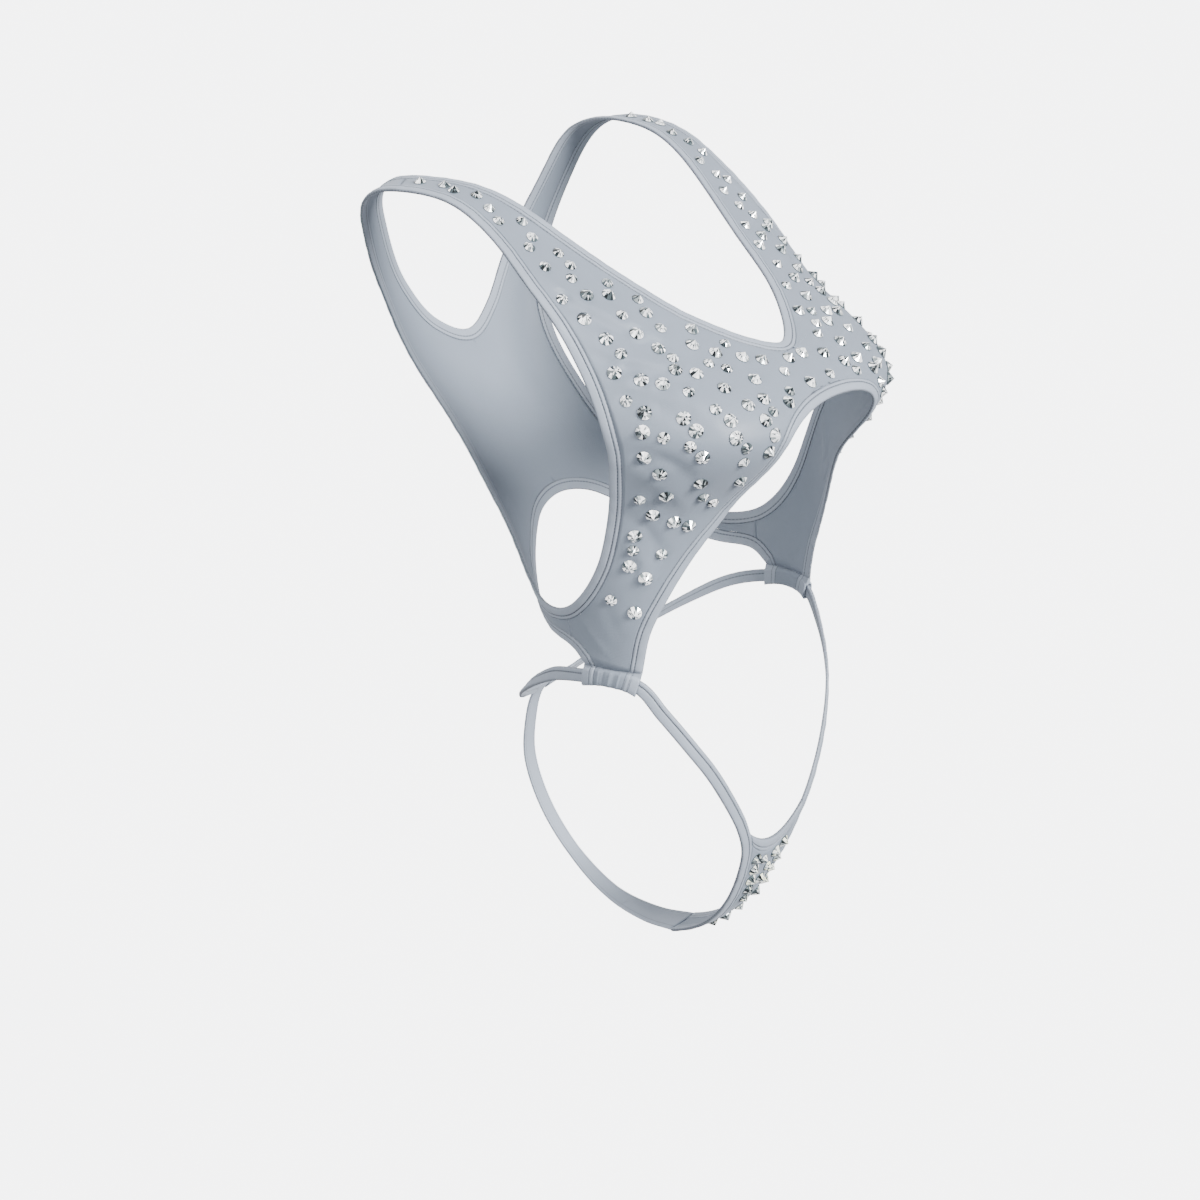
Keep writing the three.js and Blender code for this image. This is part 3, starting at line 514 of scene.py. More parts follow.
class Finish:
    """A material whose nodes are added one by one."""

    def __init__(self, name):
        self.material = bpy.data.materials.new(name)
        self.material.use_nodes = True
        self.tree = self.material.node_tree
        self.tree.nodes.clear()

    def node(self, kind, settings, sockets, output):
        """Adds a node: its settings first, then its sockets by name or identifier. Gives the wire
        from the output of that name, if one is asked for."""
        node = self.tree.nodes.new("ShaderNode" + kind)
        for key, value in settings.items():
            if key == "stops":
                ramp = node.color_ramp
                while len(ramp.elements) < len(value):
                    ramp.elements.new(1)
                for element, (place, colour) in zip(ramp.elements, value):
                    element.position = place
                    element.color = (*colour, 1)
            else:
                setattr(node, key, value)
        for key, value in sockets.items():
            target = next(s for s in node.inputs if key in (s.identifier, s.name) and s.enabled)
            lead(target, value)
        outlets = (s for s in node.outputs if output in (s.identifier, s.name) and s.enabled)
        return Wire(next(outlets)) if output else None

    def blend(self, share, low, high):
        """Two colours mixed by a share."""
        return self.node("Mix", {"data_type": "RGBA", "blend_type": "MIX", "clamp_factor": True}, {
            "Factor_Float": share, "A_Color": low, "B_Color": high}, "Result_Color")

    def shown(self, looks):
        """Leads one surface with these looks to the output, and gives the material."""
        surface = self.node("BsdfPrincipled", {}, looks, "BSDF")
        self.node("OutputMaterial", {}, {"Surface": surface}, None)
        return self.material


def stretch_satin(name, colour, lines=(), pale=(), seam=None):
    """Satin stretch knit: a colour with faint clouds, a fine knit bump with wales along the cloth and a
    soft sheen. Lines, as centre, reach and depth across the cloth, are fine dark rows: the rows where a
    fold is stitched, darkened partly as painted shade in their grooves, and painted shadow lines along a
    band's edges. Pale bands are folded bindings, and a seam runs crosswise."""
    finish = Finish(name)
    place = finish.node("TexCoord", {}, {}, "Object")
    laid = finish.node("TexCoord", {}, {}, "UV")
    along = finish.node("SeparateXYZ", {}, {"Vector": laid}, "X")
    across = finish.node("SeparateXYZ", {}, {"Vector": laid}, "Y")
    clouds = finish.node("TexNoise", {}, {"Vector": place, "Scale": 14.0, "Detail": 3.0}, "Fac")
    pores = finish.node("TexNoise", {}, {"Vector": place, "Scale": 1500.0, "Detail": 2.0}, "Fac")
    shade = finish.blend(clouds, (*[0.86 * c for c in colour], 1), (*[1.05 * c for c in colour], 1))
    for centre, reach in pale:
        shade = finish.blend(across.within(centre, reach), shade, (*CLOTH_BINDING, 1))
    shade = finish.blend(pores * 0.25, shade, (*[0.7 * c for c in colour], 1))
    height = pores * 0.5 + clouds * 0.6
    stitches = ((along * (2 * math.pi / STITCH)).sine() * 0.5 + 0.5) * 0.35 + 0.65
    # the dark rows: stitch lines, partly painted shade in their grooves, and painted shadow along a
    # band's edges
    for centre, reach, depth in lines:
        mark = across.near(centre, reach)
        shade = finish.blend(mark * stitches * depth, shade, STITCH_AND_PAINTED_SHADOW)
        height = height - mark * 0.8
    if seam:
        centre, reach, depth = seam
        shade = finish.blend(along.near(centre, reach) * depth, shade, STITCH_AND_PAINTED_SHADOW)
    wales = (along * (2 * math.pi / WALE)).sine() * 0.12
    bump = finish.node(
        "Bump", {}, {"Height": height + wales, "Strength": 0.35, "Distance": 0.0004}, "Normal")
    return finish.shown({
        "Base Color": shade,
        "Roughness": clouds * 0.16 + 0.38,
        "Normal": bump,
        "Specular IOR Level": 0.42,
        "Sheen Weight": 0.22,
        "Sheen Roughness": 0.45,
        "Sheen Tint": (0.86, 0.9, 1.0, 1),
    })


def laid_on(piece, node, material):
    """Gives a piece its finish, and lets it stand for its solid."""
    piece.data.materials.append(material)
    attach(piece, "root")
    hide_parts(node)


cloth_finish = stretch_satin("stretch_satin", CLOTH)

neck_ring = edge_line(both_sides(NECK_EDGE), True)
neck_across = across_line(neck_ring, -1, True)
neck = beside(neck_ring, neck_across, BINDING_WIDTH)
arm_ring = edge_line(ARMHOLE_EDGE, True)
arm_across = across_line(arm_ring, -1, True)
arm = beside(arm_ring, arm_across, BINDING_WIDTH)
front_arch = edge_line(both_sides(FRONT_ARCH_EDGE), False)
front_arch_across = across_level(front_arch, 1)
back_arch = edge_line(both_sides(BACK_ARCH_EDGE), False)
back_arch_across = across_level(back_arch, -1)
over_arch = beside(front_arch, front_arch_across, BINDING_WIDTH)
over_back_arch = beside(back_arch, back_arch_across, BINDING_WIDTH)
ARCH_MIDDLE = (len(front_arch[0]) - 1) // (2 * FINE)
BACK_ARCH_MIDDLE = (len(back_arch[0]) - 1) // (2 * FINE)
SEAM_FOOT = BACK_ARCH_MIDDLE + SIDE_SEAM_ON_ARCH

corner = arm[0][ARM_FRONT * FINE]
seam_foot = over_back_arch[0][SEAM_FOOT * FINE]
front_outer = joined(
    part_of(arm, 0, ARM_FRONT), between(corner, seam_foot, SEAM_STEPS),
    part_of(over_back_arch, SEAM_FOOT))
front_inner = joined(
    reversed_line(part_of(neck, 0, NECK_FRONT)),
    between(neck[0][0], over_arch[0][ARCH_MIDDLE * FINE], FRONT_MIDDLE),
    part_of(over_arch, ARCH_MIDDLE))
front_grid = panel_grid(front_outer, front_inner, FRONT_COLUMNS)
front_height = folded(front_grid, FRONT_FOLDS)
front_twin_height = folded(front_grid, [
    (at, share, to_at, to_share, width, TWIN_FOLDS * rise)
    for at, share, to_at, to_share, width, rise in FRONT_FOLDS[::2]])

# The rhinestones on the front: clear cut stones of two sizes, cone shaped with the point out,
# foiled behind and glued on by hand in uneven rows, densest over the bust. The front panel's own
# wall is laid here, once the stones have their places, because the cloth is flat under each.
STONE_LARGE = 9.8
STONE_SMALL = 8.2
STONE_RISE = 0.5
STONE_MARGIN = 1.9
STONE_SIDES = 12
# over the cloth and in millimetres: the foot, the rim; and as shares: the girdle's radius, its
# height and its turn in sides
STONE_FOOT = -0.5
STONE_RIM = 0.6
GIRDLE_RADIUS = 0.5
GIRDLE_HEIGHT = 0.56
GIRDLE_TURN = 0.33
# up to this row of the strap all stones are small, and past it every third one
STRAP_ROWS = 10
SMALL_EVERY = 3
ROW_NUMBERS = 50
DRIFT_ALONG = 0.16
DRIFT_ACROSS = 0.03
STONE_APART = 1.4
APART_ROUNDS = 12
SEAM_ROUNDS = 3
STONE_GLUED = 0.4
STONE_LETS_GO = 2.6
# the rim's painted contact shadow: a dark grey outline round each stone, also given to the hidden back
RIM_PAINTED_SHADOW = 0.3
# place along the panel, number in the row, share of the width at the first and the last
FRONT_STONES = [
    (0.8, 1, 0.6, 0.6), (1.8, 1, 0.75, 0.75), (2.5, 1, 0.3, 0.3), (3.4, 1, 0.7, 0.7),
    (4.3, 1, 0.38, 0.38), (5.2, 2, 0.22, 0.74), (6.1, 1, 0.5, 0.5), (7.0, 2, 0.25, 0.68),
    (8.1, 2, 0.25, 0.6), (9.1, 2, 0.41, 0.81), (10.2, 4, 0.13, 0.88), (11.4, 3, 0.16, 0.77),
    (12.6, 4, 0.2, 0.91), (14.1, 4, 0.19, 0.88), (15.2, 3, 0.1, 0.67), (16.3, 4, 0.2, 0.72),
    (17.1, 6, 0.09, 0.94), (17.9, 5, 0.16, 0.86), (18.6, 7, 0.1, 0.93), (19.3, 5, 0.17, 0.77),
    (20.3, 4, 0.1, 0.7), (21.8, 4, 0.2, 0.83), (23.1, 5, 0.09, 0.88), (24.4, 3, 0.22, 0.86),
    (25.4, 3, 0.11, 0.72), (26.7, 2, 0.17, 0.66), (28.1, 2, 0.25, 0.6), (29.3, 1, 0.62, 0.62),
    (30.1, 1, 0.28, 0.28), (31.9, 1, 0.84, 0.84),
]


def drift(numbers):
    """A repeatable scatter from -1 to 1: the fraction of a large sine of each number."""
    wave = np.sin(numbers * 127.1 + 11.7) * 43758.5453
    return 2 * (wave - np.floor(wave)) - 1


def clear_of(seams, line, room):
    """Points moved off the nearest place of some seam lines until they have their room."""
    starts = np.concatenate([seam[:-1] for seam in seams])
    runs = np.concatenate([seam[1:] - seam[:-1] for seam in seams])
    p, n = line
    for _ in range(SEAM_ROUNDS):
        t = ((p[:, None] - starts) * runs).sum(axis=2) / np.maximum((runs**2).sum(axis=1), 1e-9)
        spots = starts + runs * np.clip(t, 0, 1)[..., None]
        away = p[:, None] - spots
        nearest = away[np.arange(len(p)), np.linalg.norm(away, axis=2).argmin(axis=1)]
        short = np.maximum(room - np.linalg.norm(nearest, axis=1), 0)
        p, n = settled(p + unit(nearest) * short[:, None])
    return p, n


def stone_rows(grid, table, small_rows, seed):
    """Places, directions out and widths of the stones that a table sets on a grid, each a
    little out of line."""
    numbers, at, share = (np.array(values, float) for values in zip(*(
        (seed + ROW_NUMBERS * i + k, place, first + (last - first) * k / max(count - 1, 1))
        for i, (place, count, first, last) in enumerate(table) for k in range(count))))
    width = np.where((at < small_rows) | (numbers % SMALL_EVERY == 0), STONE_SMALL, STONE_LARGE)
    share = share + DRIFT_ACROSS * drift(numbers + 0.5)
    return *on_grid(grid, at + DRIFT_ALONG * drift(numbers), share), width


def stones_apart(stones, seams):
    """Stones moved off the seams, and off each other by half of what each pair lacks, until all
    have their room."""
    p, n, width = stones
    room = width / 2 + STONE_MARGIN
    p, n = clear_of(seams, (p, n), room)
    for _ in range(APART_ROUNDS):
        away = p[:, None] - p
        short = (width[:, None] + width) / 2 + STONE_APART - np.linalg.norm(away, axis=2)
        push = unit(away) * np.maximum(short, 0)[..., None] / 2
        p, n = clear_of(seams, settled(p + push.sum(axis=1)), room)
    return p, n, width


def held_flat(stones, grids, heights):
    """The stones raised by the fold under the middle of each, and the folds held flat there: the
    height under a stone is that of its middle, and the fold's own a few millimetres beyond."""
    p, n, width = stones
    cloth = np.concatenate([grid[0].reshape(-1, 3) for grid in grids])
    away = np.stack([np.linalg.norm(cloth - spot, axis=1) for spot in p])
    level = np.concatenate([height.ravel() for height in heights])[away.argmin(axis=1)]
    nearest = (away - width[:, None] / 2).argmin(axis=0)
    past = (away - width[:, None] / 2)[nearest, np.arange(len(cloth))]
    free = np.clip((past - STONE_GLUED) / STONE_LETS_GO, 0, 1)
    free = free**2 * (3 - 2 * free)
    flat = []
    for height in heights:
        here = free[:height.size].reshape(height.shape)
        under = nearest[:height.size].reshape(height.shape)
        flat.append(height * here + level[under] * (1 - here))
        free, nearest = free[height.size:], nearest[height.size:]
    return (p + n * level[:, None], n, width), flat


def cut_stones(name, places, directions, widths, sides=STONE_SIDES):
    """One mesh of cut stones: each has rings of corners for its foot, its rim and a girdle at half its
    height, turned by a third of a side, and a point. Each face carries a value of painted light: the rim
    a dark painted contact shadow, and the wedges painted reflections, with both faces of a wedge, below
    and above the girdle, nearly the same."""
    across = unit(np.cross((0.3, 0.2, 1), directions))
    other = np.cross(directions, across)
    turn = 2 * np.pi * np.arange(sides) / sides
    start = drift(np.arange(len(widths)) + 0.25)[:, None] * np.pi
    rise = widths * STONE_RISE
    rings = []
    for radius, height, shift in (
        (1, PANEL_WALL + STONE_FOOT, 0),
        (1, PANEL_WALL + STONE_RIM, 0),
        (GIRDLE_RADIUS, PANEL_WALL + GIRDLE_HEIGHT * rise, GIRDLE_TURN),
    ):
        angle = turn + start + shift * 2 * np.pi / sides
        spread = across[:, None] * np.cos(angle)[..., None] + other[:, None] * np.sin(angle)[..., None]
        rings.append(places[:, None] + spread * (radius * widths / 2)[:, None, None]
                     + directions[:, None] * np.broadcast_to(height, len(rise))[:, None, None])
    point = places + directions * (PANEL_WALL + rise)[:, None]
    corners = np.concatenate([*rings, point[:, None]], axis=1)
    k = np.arange(sides)
    after = (k + 1) % sides
    tip = np.full(sides, 3 * sides)
    pattern = np.concatenate([
        np.stack([k, after, sides + after], 1), np.stack([k, sides + after, sides + k], 1),
        np.stack([sides + k, sides + after, 2 * sides + k], 1),
        np.stack([sides + after, 2 * sides + after, 2 * sides + k], 1),
        np.stack([2 * sides + k, 2 * sides + after, tip], 1),
        np.stack([np.zeros(sides - 2, int), k[2:], k[1:-1]], 1)])
    faces = (pattern[None] + (np.arange(len(widths)) * corners.shape[1])[:, None, None]).reshape(-1, 3)
    piece = put_mesh(name, corners.reshape(-1, 3), faces, smooth=False)
    # painted light for each face: the wedges' painted reflections, white, grey or near black, nearly the
    # same below and above the girdle; the rim and the hidden back take the painted contact shadow
    wedge = 0.5 + 0.5 * drift(np.arange(len(widths))[:, None] * 17.3 + k + 3.1)
    lower = np.clip(wedge + 0.16 * drift(wedge * 91.7), 0, 1)
    between_wedges = 0.5 + 0.5 * drift(wedge * 53.9 + 0.7)
    rim = np.full_like(wedge, RIM_PAINTED_SHADOW)
    back = np.full((len(widths), sides - 2), RIM_PAINTED_SHADOW)
    painted_light_per_face = np.concatenate([rim, rim, lower, between_wedges, wedge, back], axis=1)
    facet = piece.data.attributes.new("facet", "FLOAT", "FACE")
    facet.data.foreach_set("value", painted_light_per_face.ravel().astype(np.float32))
    return piece


def cut_glass(name, tint):
    """Foiled cut glass: clear over a mirror. The white, grey or near black with sharp edges that each
    face seems to throw back is painted reflection in the base colour, picked by the face's value of
    painted light, and the lit ones shine of themselves a little as painted glints."""
    finish = Finish(name)
    place = finish.node("TexCoord", {}, {}, "Object")
    facet = finish.node("Attribute", {"attribute_name": "facet"}, {}, "Fac")
    # faint painted shards of reflection within each face
    clouds = finish.node("TexNoise", {}, {"Vector": place, "Scale": 260.0, "Detail": 1.0}, "Fac")
    painted_light_level = facet + (clouds - 0.5) * 0.3
    # painted reflections and the rim's painted contact shadow, as base colour from near black through
    # grey to white
    shade = finish.node("ValToRGB", {"stops": [
        (0.0, (0.008, 0.01, 0.012)), (0.2, (0.02, 0.03, 0.034)), (0.23, (0.08, 0.1, 0.11)),
        (0.37, (0.12, 0.16, 0.17)), (0.4, (0.34, 0.38, 0.39)), (0.57, (0.42, 0.47, 0.48)),
        (0.6, (0.9, 0.93, 0.93)), (1.0, tint)]}, {"Fac": painted_light_level}, "Color")
    # painted glints: the white faces shine of themselves a little
    painted_glints = finish.node("ValToRGB", {"stops": [
        (0.58, (0.0, 0.0, 0.0)), (0.63, (0.35, 0.36, 0.37)), (0.84, (0.5, 0.5, 0.5)), (1.0, tint)]},
        {"Fac": painted_light_level}, "Color")
    return finish.shown({
        "Base Color": shade,
        "Metallic": 0.35,
        "Roughness": 0.1,
        "Specular IOR Level": 0.6,
        "Coat Weight": 0.4,
        "Coat Roughness": 0.03,
        "Emission Color": painted_glints,
        "Emission Strength": 1.5,
    })


def set_stones(piece, material):
    """Gives stones their glass. The cloth they sit on already stands for their solid."""
    piece.data.materials.append(material)
    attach(piece, "root")


glass_finish = cut_glass("cut_glass", (1.0, 1.0, 1.0))
front_seams = [
    front_outer[0], front_inner[0][:NECK_FRONT * FINE + 1],
    front_inner[0][(NECK_FRONT + FRONT_MIDDLE) * FINE:]]
front_grids = [front_grid, mirrored(front_grid)]
front_places = joined(*(
    stone_rows(grid, FRONT_STONES, STRAP_ROWS, k) for k, grid in enumerate(front_grids)))
front_places = stones_apart(front_places, front_seams + [seam * (-1, 1, 1) for seam in front_seams])
front_places, front_heights = held_flat(front_places, front_grids, [front_twin_height, front_height])
front_panel = cloth_wall("front_panel_cloth", front_grids, front_heights)
laid_on(front_panel, "front_panel", cloth_finish)
front_stones = cut_stones("front_stones", *front_places)
set_stones(front_stones, glass_finish)

# The back panel: the same cloth, plain, with both wide straps that meet in a deep curve and
# two bands that run round to the side seams.
BACK_COLUMNS = 36
BACK_MIDDLE = 4
BACK_FOLDS = [
    (1.0, 0.5, 8.5, 0.42, 9.0, -0.6),
    (6.0, 0.12, 13.0, 0.5, 9.0, 0.7),
    (9.0, 0.9, 15.0, 0.3, 10.0, -0.7),
    (14.5, 0.15, 20.0, 0.6, 7.0, 0.6),
    (16.0, 0.85, 23.5, 0.4, 6.5, -0.6),
    (19.5, 0.1, 25.4, 0.55, 5.0, 0.4),
]
NECK_BACK = len(neck[0]) // (2 * FINE)
back_outer = joined(part_of(arm, 0, 0), reversed_line(part_of(arm, ARM_FRONT)))
back_inner = joined(
    part_of(neck, NECK_FRONT, NECK_BACK),
    between(neck[0][NECK_BACK * FINE], over_back_arch[0][BACK_ARCH_MIDDLE * FINE], BACK_MIDDLE),
    part_of(over_back_arch, BACK_ARCH_MIDDLE, SEAM_FOOT))
back_grid = panel_grid(back_outer, back_inner, BACK_COLUMNS)
back_height = folded(back_grid, BACK_FOLDS)
back_panel = cloth_wall("back_panel_cloth", [back_grid, mirrored(back_grid)], [back_height, back_height])
laid_on(back_panel, "back_panel", cloth_finish)

# The bindings: strips of the same cloth folded over each raw edge and stitched down, which shows as a
# fine dark line at a third of the width from the panel's side, darkened partly as painted shade in its
# groove.
# share of the width, height over the form
BAND_SECTION = np.array([
    (0.04, -0.35), (0.0, 0.35), (0.012, 0.95), (0.05, 1.5), (0.12, 1.85), (0.22, 2.02), (0.36, 2.08),
    (0.5, 2.02), (0.59, 1.9), (0.635, 1.7), (0.66, 1.25), (0.685, 1.68), (0.73, 1.9), (0.8, 1.98),
    (0.88, 1.86), (0.945, 1.55), (0.985, 1.0), (1.0, 0.4), (0.96, -0.35),
])


# how much a band quivers, and the waves of it: length, start and share
QUIVER = 0.05
QUIVER_WAVES = [(1.9, 0, 1), (3.1, 1.3, 0.8), (7.3, 0.4, 0.9)]


def band(name, line, across, width, closed):
    """A folded strip: its section, in shares of the width and heights, is laid on the form at
    every station, and its height quivers a little along it where the stitching draws it in."""
    p = line[0]
    share, height = BAND_SECTION.T
    reach = np.broadcast_to(width, len(p))[:, None] * share
    spots, out = settled(p[:, None] + across[:, None] * reach[..., None])
    run = np.linalg.norm(np.diff(p, axis=0, prepend=p[:1]), axis=1).cumsum()
    wave = sum(np.sin(run / length + start) * part for length, start, part in QUIVER_WAVES)
    lift = 1 + QUIVER * wave[:, None] * np.clip(height, 0, 1)
    points = spots + out * (height * lift)[..., None]
    return swept(name, points, run[:, None], share, closed)


def swept(name, points, along, across, closed):
    """A closed body through rings of points: each ring joins the next, and open ends are
    capped. UV holds the distance along the cloth in metres and the share across it."""
    rows, columns = points.shape[:2]
    i, k = np.meshgrid(np.arange(rows if closed else rows - 1), np.arange(columns), indexing="ij")
    here, there = i.ravel() * columns, (i.ravel() + 1) % rows * columns
    k, beyond = k.ravel(), (k.ravel() + 1) % columns
    quads = np.stack([here + k, here + beyond, there + beyond, there + k], 1)
    uvs = np.stack(np.broadcast_arrays(along / 1000, across), axis=2).reshape(-1, 2)
    piece = put_mesh(name, points.reshape(-1, 3), quads, uvs, sharp=60)
    closed_up(piece, fills=lambda edge: True)
    return piece


# dark lines across the binding: the stitched row at 0.66, partly painted shade in its groove, and painted
# shadow lines along the panel's side at 1.0 and the opening's side at 0.0
binding_finish = stretch_satin(
    "folded_satin", CLOTH_BINDING, [(0.66, 0.085, 1.0), (1.0, 0.13, 1.0), (0.0, 0.09, 0.75)])
neck_binding = band("neckline_band", neck_ring, neck_across, BINDING_WIDTH, True)
laid_on(neck_binding, "neckline_binding", binding_finish)
for side, turn in (("left", 1), ("right", -1)):
    arm_band = band(
        f"armhole_band_{side}", mirrored(arm_ring, turn), arm_across * (turn, 1, 1), BINDING_WIDTH, True)
    laid_on(arm_band, f"armhole_binding_{side}", binding_finish)
front_arch_band = band("front_arch_band", front_arch, front_arch_across, BINDING_WIDTH, False)
laid_on(front_arch_band, "front_arch_binding", binding_finish)
back_arch_band = band("back_arch_band", back_arch, back_arch_across, BINDING_WIDTH, False)
laid_on(back_arch_band, "back_arch_binding", binding_finish)

# The hip straps: one folded strip on each side, from the crotch up along the thong front,
# through the casing at the hip and round to the small of the back.
STRAP_WIDTH = 10
LEG_EDGE = [
    (16, -132, -556, 2), (17, -154, -551, 2), (21, -172, -538, 2), (26, -186, -515, 3),
    (33, -200, -488, 2), (39, -208, -468, 2), (50, -210, -446, 2), (66, -208, -419, 2),
    (80, -203, -395, 2), (93, -194, -373, 2), (104, -178, -348, 3), (110, -164, -330, 4),
    (114, -147, -327.2, 4), (117, -128, -329, 2), (108, -98, -338, 2), (90, -71, -356, 2),
    (62, -38, -382, 2), (34, -14, -400, 2), (6.9, -3, -406.7, 0),
]
leg = edge_line(LEG_EDGE, False)
leg_across = across_line(leg, 1, False)
leg_across[0] = (-1, 0, 0)
leg_across[-1] = (0, 0, 1)
# dark lines across the strap: the stitched row at 0.66, partly painted shade in its groove, and painted
# shadow lines along both edges
strap_finish = stretch_satin(
    "folded_strap", CLOTH_BINDING, [(0.66, 0.08, 0.9), (0.0, 0.12, 0.85), (1.0, 0.07, 0.6)])
for side, turn in (("left", 1), ("right", -1)):
    strap = band(
        f"hip_strap_band_{side}", mirrored(leg, turn), leg_across * (turn, 1, 1), STRAP_WIDTH, False)
    laid_on(strap, f"hip_strap_{side}", strap_finish)

# The casings: the end of each side leg is folded back over the hip strap and stitched down in
# a fine seam, with its two bindings folded along, so it is slightly gathered between them.
CASING_TOP = -315.0
CASING_FIRST = 11
CASING_LAST = 13
CASING_STEPS = 7
CASING_FINE = 10
FOLD_EDGE = 0.9
# the folded bindings at both ends of the run: their rise, the slope of their edge, and the
# depth, the place as a share and the half width of their stitched groove
BINDING_RAISE = 0.5
BINDING_SLOPE = 0.5
GROOVE_DEPTH = 1.1
GROOVE_PLACE = 0.66
GROOVE_HALF = 0.35
CASING_ARCH = 1.1
CASING_HEM = -4
# outside and bore: height across the strap and depth off the form; at the foot of the panel the
# height is that of the seam line
AT_FOOT = 99
CASING_OUTLINE = np.array([
    (AT_FOOT, 1.45, 5.4, 1.6), (6.5, 1.9, 5.4, 2.3), (5.0, 3.5, 4.8, 2.8), (0, 4.3, 0, 2.9),
    (-4.9, 4.2, -5.0, 2.8), (-6.7, 2.6, -5.7, 1.8), (-7.0, -0.8, -5.7, -0.4),
    (-5.4, -2.6, -5.0, -1.2), (0, -2.8, 0, -1.3), (5.2, -2.6, 4.8, -1.2),
    (6.5, -1.4, 5.4, -0.7), (AT_FOOT, -0.4, 5.4, -0.2),
])
# gathers: share of the run from the front, width of the fold as a share, and its height
GATHERS = [
    (0.34, 0.022, 0.5), (0.42, 0.03, -0.35), (0.49, 0.025, 0.45), (0.60, 0.03, -0.45),
    (0.69, 0.022, 0.5),
]
LOOP_FINE = 4


def rounded_loop(rings):
    """Closed rings of points made finer by a uniform Catmull-Rom curve through them."""
    w = (np.arange(LOOP_FINE) / LOOP_FINE)[:, None]
    a, b, c, d = (np.roll(rings, shift, axis=1)[:, :, None] for shift in (1, 0, -1, -2))
    fine = b + 0.5 * w * (c - a + w * (2 * a - 5 * b + 4 * c - d + w * (3 * (b - c) + d - a)))
    return fine.reshape(len(rings), -1, 3)


casing_table = [
    (x, y, z, CASING_STEPS if CASING_FIRST <= row < CASING_LAST else int(row == CASING_LAST))
    for row, (x, y, z, _) in enumerate(LEG_EDGE)]
casing_count = (CASING_LAST - CASING_FIRST) * CASING_STEPS * CASING_FINE + 1
casing_edge = edge_line(casing_table, False, fine=CASING_FINE)
casing_edge = tuple(part[:casing_count] for part in casing_edge)
casing_across = across_line(casing_edge, 1, False)
casing_p, casing_n = beside(casing_edge, casing_across, STRAP_WIDTH / 2)
casing_run = np.linalg.norm(np.diff(casing_p, axis=0, prepend=casing_p[:1]), axis=1).cumsum()
casing_share = casing_run / casing_run[-1]
foot_start, foot_end = front_arch[0][-1], back_arch[0][-1]
foot, foot_n = settled(foot_start + (foot_end - foot_start) * casing_share[:, None])
foot[:, 2] = CASING_TOP
casing_up = unit(foot - casing_p)
lean = (casing_up * casing_across).sum(axis=1)[:, None]
from_end = np.minimum(casing_run, casing_run[-1] - casing_run)
groove = GROOVE_DEPTH * np.exp(-((from_end - GROOVE_PLACE * BINDING_WIDTH) / GROOVE_HALF) ** 2)
raised = BINDING_RAISE * (np.clip((BINDING_WIDTH - from_end) / BINDING_SLOPE, 0, 1) - groove)
turned_in = FOLD_EDGE * (1 - np.sqrt(1 - np.clip(1 - from_end / FOLD_EDGE, 0, 1) ** 2))
folds = sum(rise * np.exp(-((casing_share - place) / width) ** 2) for place, width, rise in GATHERS)
# how much of the gathers, of the bindings and of the turned edge each outline point takes
takes_gather = np.array([0.1, 0.4, 0.8, 1, 1, 0.8, 0.4, 0, 0, 0, 0, 0])
takes_binding = np.array([1, 1, 1, 1, 1, 1, 0.5, 0, 0, 0, 0, 0])
outside_depth = (CASING_OUTLINE[:, 1] + folds[:, None] * takes_gather
                 + (raised - turned_in)[:, None] * takes_binding)
arched = CASING_ARCH * np.sin(np.pi * casing_share)[:, None] * (CASING_OUTLINE[:, 0] < CASING_HEM)


def casing_rings(heights, depths):
    """Sections of the casing: points up from the strap's middle by heights and off the form by
    depths, or at the foot of the panel where the outline says so."""
    free = (casing_p[:, None] + casing_up[:, None] * heights[..., None]
            + casing_n[:, None] * depths[..., None])
    at_foot = foot[:, None] + foot_n[:, None] * depths[..., None]
    return np.where((heights > AT_FOOT / 2)[..., None], at_foot, free)


casing_outer = rounded_loop(casing_rings((CASING_OUTLINE[:, 0] + arched) / lean, outside_depth))
casing_bore = rounded_loop(casing_rings(
    CASING_OUTLINE[:, 2] / lean, np.broadcast_to(CASING_OUTLINE[:, 3], outside_depth.shape)))
# dark lines across the casing: the stitched rows of its bindings at 0.158 and 0.842, partly painted shade
# in their grooves, and painted shadow lines where each binding meets the gathered middle at 0.24 and 0.76
casing_finish = stretch_satin(
    "casing_satin", CLOTH,
    [(0.158, 0.012, 0.9), (0.24, 0.014, 0.8), (0.842, 0.012, 0.9), (0.76, 0.014, 0.8)],
    pale=[(0.0, 0.24), (1.0, 0.24)], seam=(0.0, 0.0007, 0.8))
for side, turn in (("left", 1), ("right", -1)):
    points = np.concatenate([casing_outer, casing_bore[::-1]], axis=0) * (turn, 1, 1)
    around = np.linalg.norm(np.diff(points, axis=1, prepend=points[:, :1]), axis=2).cumsum(axis=1)
    share = np.concatenate([casing_share, casing_share[::-1]])[:, None]
    casing = swept(f"casing_cloth_{side}", points, around, share, True)
    laid_on(casing, f"casing_{side}", casing_finish)

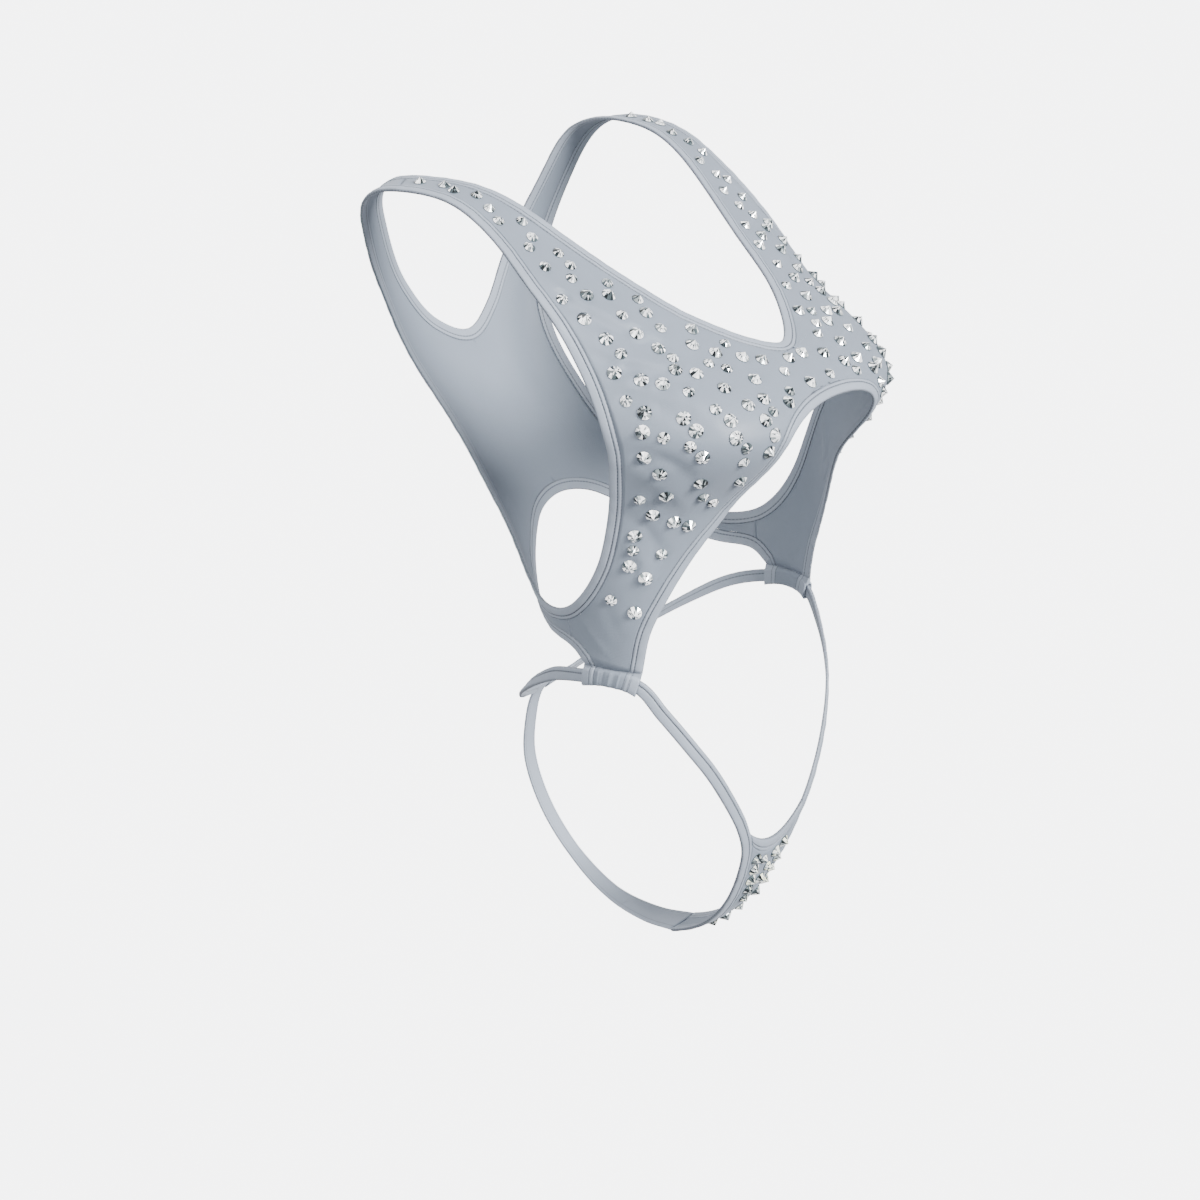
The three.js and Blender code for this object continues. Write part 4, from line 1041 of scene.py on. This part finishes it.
# The thong front: a small triangle of the same cloth with its own rhinestones, bound at its
# sides by the hip straps and at the top, which sags a little, by a strip of its own.
THONG_TOP = 11
THONG_SAG = 15
THONG_SAG_ROWS = 6
THONG_COLUMNS = 32
TRIANGLE_STONES = [
    (2.2, 1, 0.5, 0.5), (3.4, 1, 0.5, 0.5), (4.6, 1, 0.5, 0.5), (5.8, 2, 0.25, 0.75),
    (6.9, 2, 0.22, 0.78), (8.0, 3, 0.18, 0.82), (9.1, 3, 0.2, 0.8), (10.2, 4, 0.14, 0.86),
]
thong_side = beside(leg, leg_across, STRAP_WIDTH)
thong_side = part_of(thong_side, 0, THONG_TOP + 1)
rise = np.clip((np.arange(len(thong_side[0])) / FINE - THONG_TOP) / THONG_SAG_ROWS + 1, 0, 1)
sag = THONG_SAG * rise**2 * (3 - 2 * rise)
thong_grid = panel_grid(thong_side, mirrored(thong_side), THONG_COLUMNS, sag)
triangle = tuple(part[:THONG_TOP * FINE + 1] for part in thong_grid)
thong_front = cloth_wall("thong_front_cloth", [triangle], [np.zeros(triangle[0].shape[:2])])
laid_on(thong_front, "thong_front", cloth_finish)
thong_seams = [thong_side[0], thong_side[0] * (-1, 1, 1), triangle[0][-1]]
thong_stones = cut_stones(
    "thong_stones", *stones_apart(stone_rows(triangle, TRIANGLE_STONES, 0, 2), thong_seams))
set_stones(thong_stones, cut_glass("cut_glass_warm", (0.97, 1.0, 0.74)))

top_line = thong_grid[0][-1], thong_grid[1][-1]
down = triangle[0][-1] - top_line[0]
top_band = band("thong_top_band", top_line, unit(down), np.linalg.norm(down, axis=1), False)
laid_on(top_band, "thong_top_binding", strap_finish)

# The thong strap: a gusset of the same cloth, doubled and turned, which narrows from the
# crotch seam to a strap and runs up the middle of the back to the two hip straps.
# y, z and the half width
THONG_LINE = [
    (-132.85, -560.85, 15.9), (-105, -562.5, 12.5), (-70, -555, 8.5), (-35, -531, 6.5),
    (-8, -498, 6.5), (6, -462, 6.5), (5, -432, 6.5), (-0.6, -410, 6.5), (-9.3, -398.3, 6.5),
]
THONG_STEPS = 18
# share of the width, height over the middle line
STRAP_SECTION = np.array([
    (0.02, -0.35), (0.0, 0.35), (0.01, 1.0), (0.04, 1.55), (0.09, 1.8), (0.13, 1.75), (0.15, 1.35),
    (0.17, 1.78), (0.3, 1.98), (0.5, 2.02), (0.7, 1.98), (0.83, 1.78), (0.85, 1.35), (0.87, 1.75),
    (0.91, 1.8), (0.96, 1.55), (0.99, 1.0), (1.0, 0.35), (0.98, -0.35),
])
places = np.arange((len(THONG_LINE) - 1) * THONG_STEPS + 1) / THONG_STEPS
middle = along_rows([(0, y, z) for y, z, _ in THONG_LINE], places, False)
half = np.interp(places, np.arange(len(THONG_LINE)), [row[2] for row in THONG_LINE])
tangent = unit(np.gradient(middle, axis=0))
out = np.stack([0 * half, tangent[:, 2], -tangent[:, 1]], axis=1)
share, height = STRAP_SECTION.T
points = (middle[:, None] + np.array((1, 0, 0)) * ((2 * share - 1) * half[:, None])[..., None]
          + out[:, None] * height[:, None])
run = np.linalg.norm(np.diff(middle, axis=0, prepend=middle[:1]), axis=1).cumsum()
thong_strap = swept("thong_strap_cloth", points, run[:, None], share, False)
# dark lines at the stitched rows 0.15 and 0.85, partly painted shade in their grooves
laid_on(thong_strap, "thong_strap", stretch_satin(
    "gusset_satin", CLOTH_BINDING, [(0.15, 0.02, 0.7), (0.85, 0.02, 0.7)]))

# The floor: a pale sweep that is level under everything and curves up far off, all round, so it
# is its own backdrop. It gives a little light of its own, as paper lit from behind does.
FLOOR_HEIGHT = -0.95
FLOOR_RINGS = 48
FLOOR_SPOKES = 97
FLOOR_CENTRE = 0.02
SWEEP_LEVEL = 9
SWEEP_REACH = 30
SWEEP_RISE = 9
SWEEP_GLOW = 4.5
across_floor, around_floor = np.meshgrid(
    np.linspace(FLOOR_CENTRE, 1, FLOOR_RINGS), np.linspace(0, 2 * np.pi, FLOOR_SPOKES), indexing="ij")
far_off = SWEEP_REACH * across_floor
climb = SWEEP_RISE * np.clip((far_off - SWEEP_LEVEL) / (SWEEP_REACH - SWEEP_LEVEL), 0, 1) ** 2
sweep = np.stack([
    far_off * np.cos(around_floor), far_off * np.sin(around_floor), FLOOR_HEIGHT + climb], axis=2)
floor = put_mesh(
    "floor", 1000 * sweep.reshape(-1, 3), grid_faces(FLOOR_RINGS, FLOOR_SPOKES, flip=True))
closed_up(floor, merge=1e-3, fills=lambda edge: edge.verts[0].co.length < SWEEP_LEVEL)
floor.visible_diffuse = False
floor.visible_glossy = False
floor_finish = Finish("pale_floor")
floor_place = floor_finish.node("TexCoord", {}, {}, "Object")
floor_cloud = floor_finish.node("TexNoise", {}, {"Vector": floor_place, "Scale": 1.5}, "Fac")
floor_shade = floor_finish.blend(floor_cloud, (0.86, 0.87, 0.88, 1), (0.88, 0.88, 0.89, 1))
floor.data.materials.append(floor_finish.shown({
    "Base Color": floor_shade,
    "Roughness": 0.9,
    "Emission Color": floor_shade,
    "Emission Strength": SWEEP_GLOW,
}))
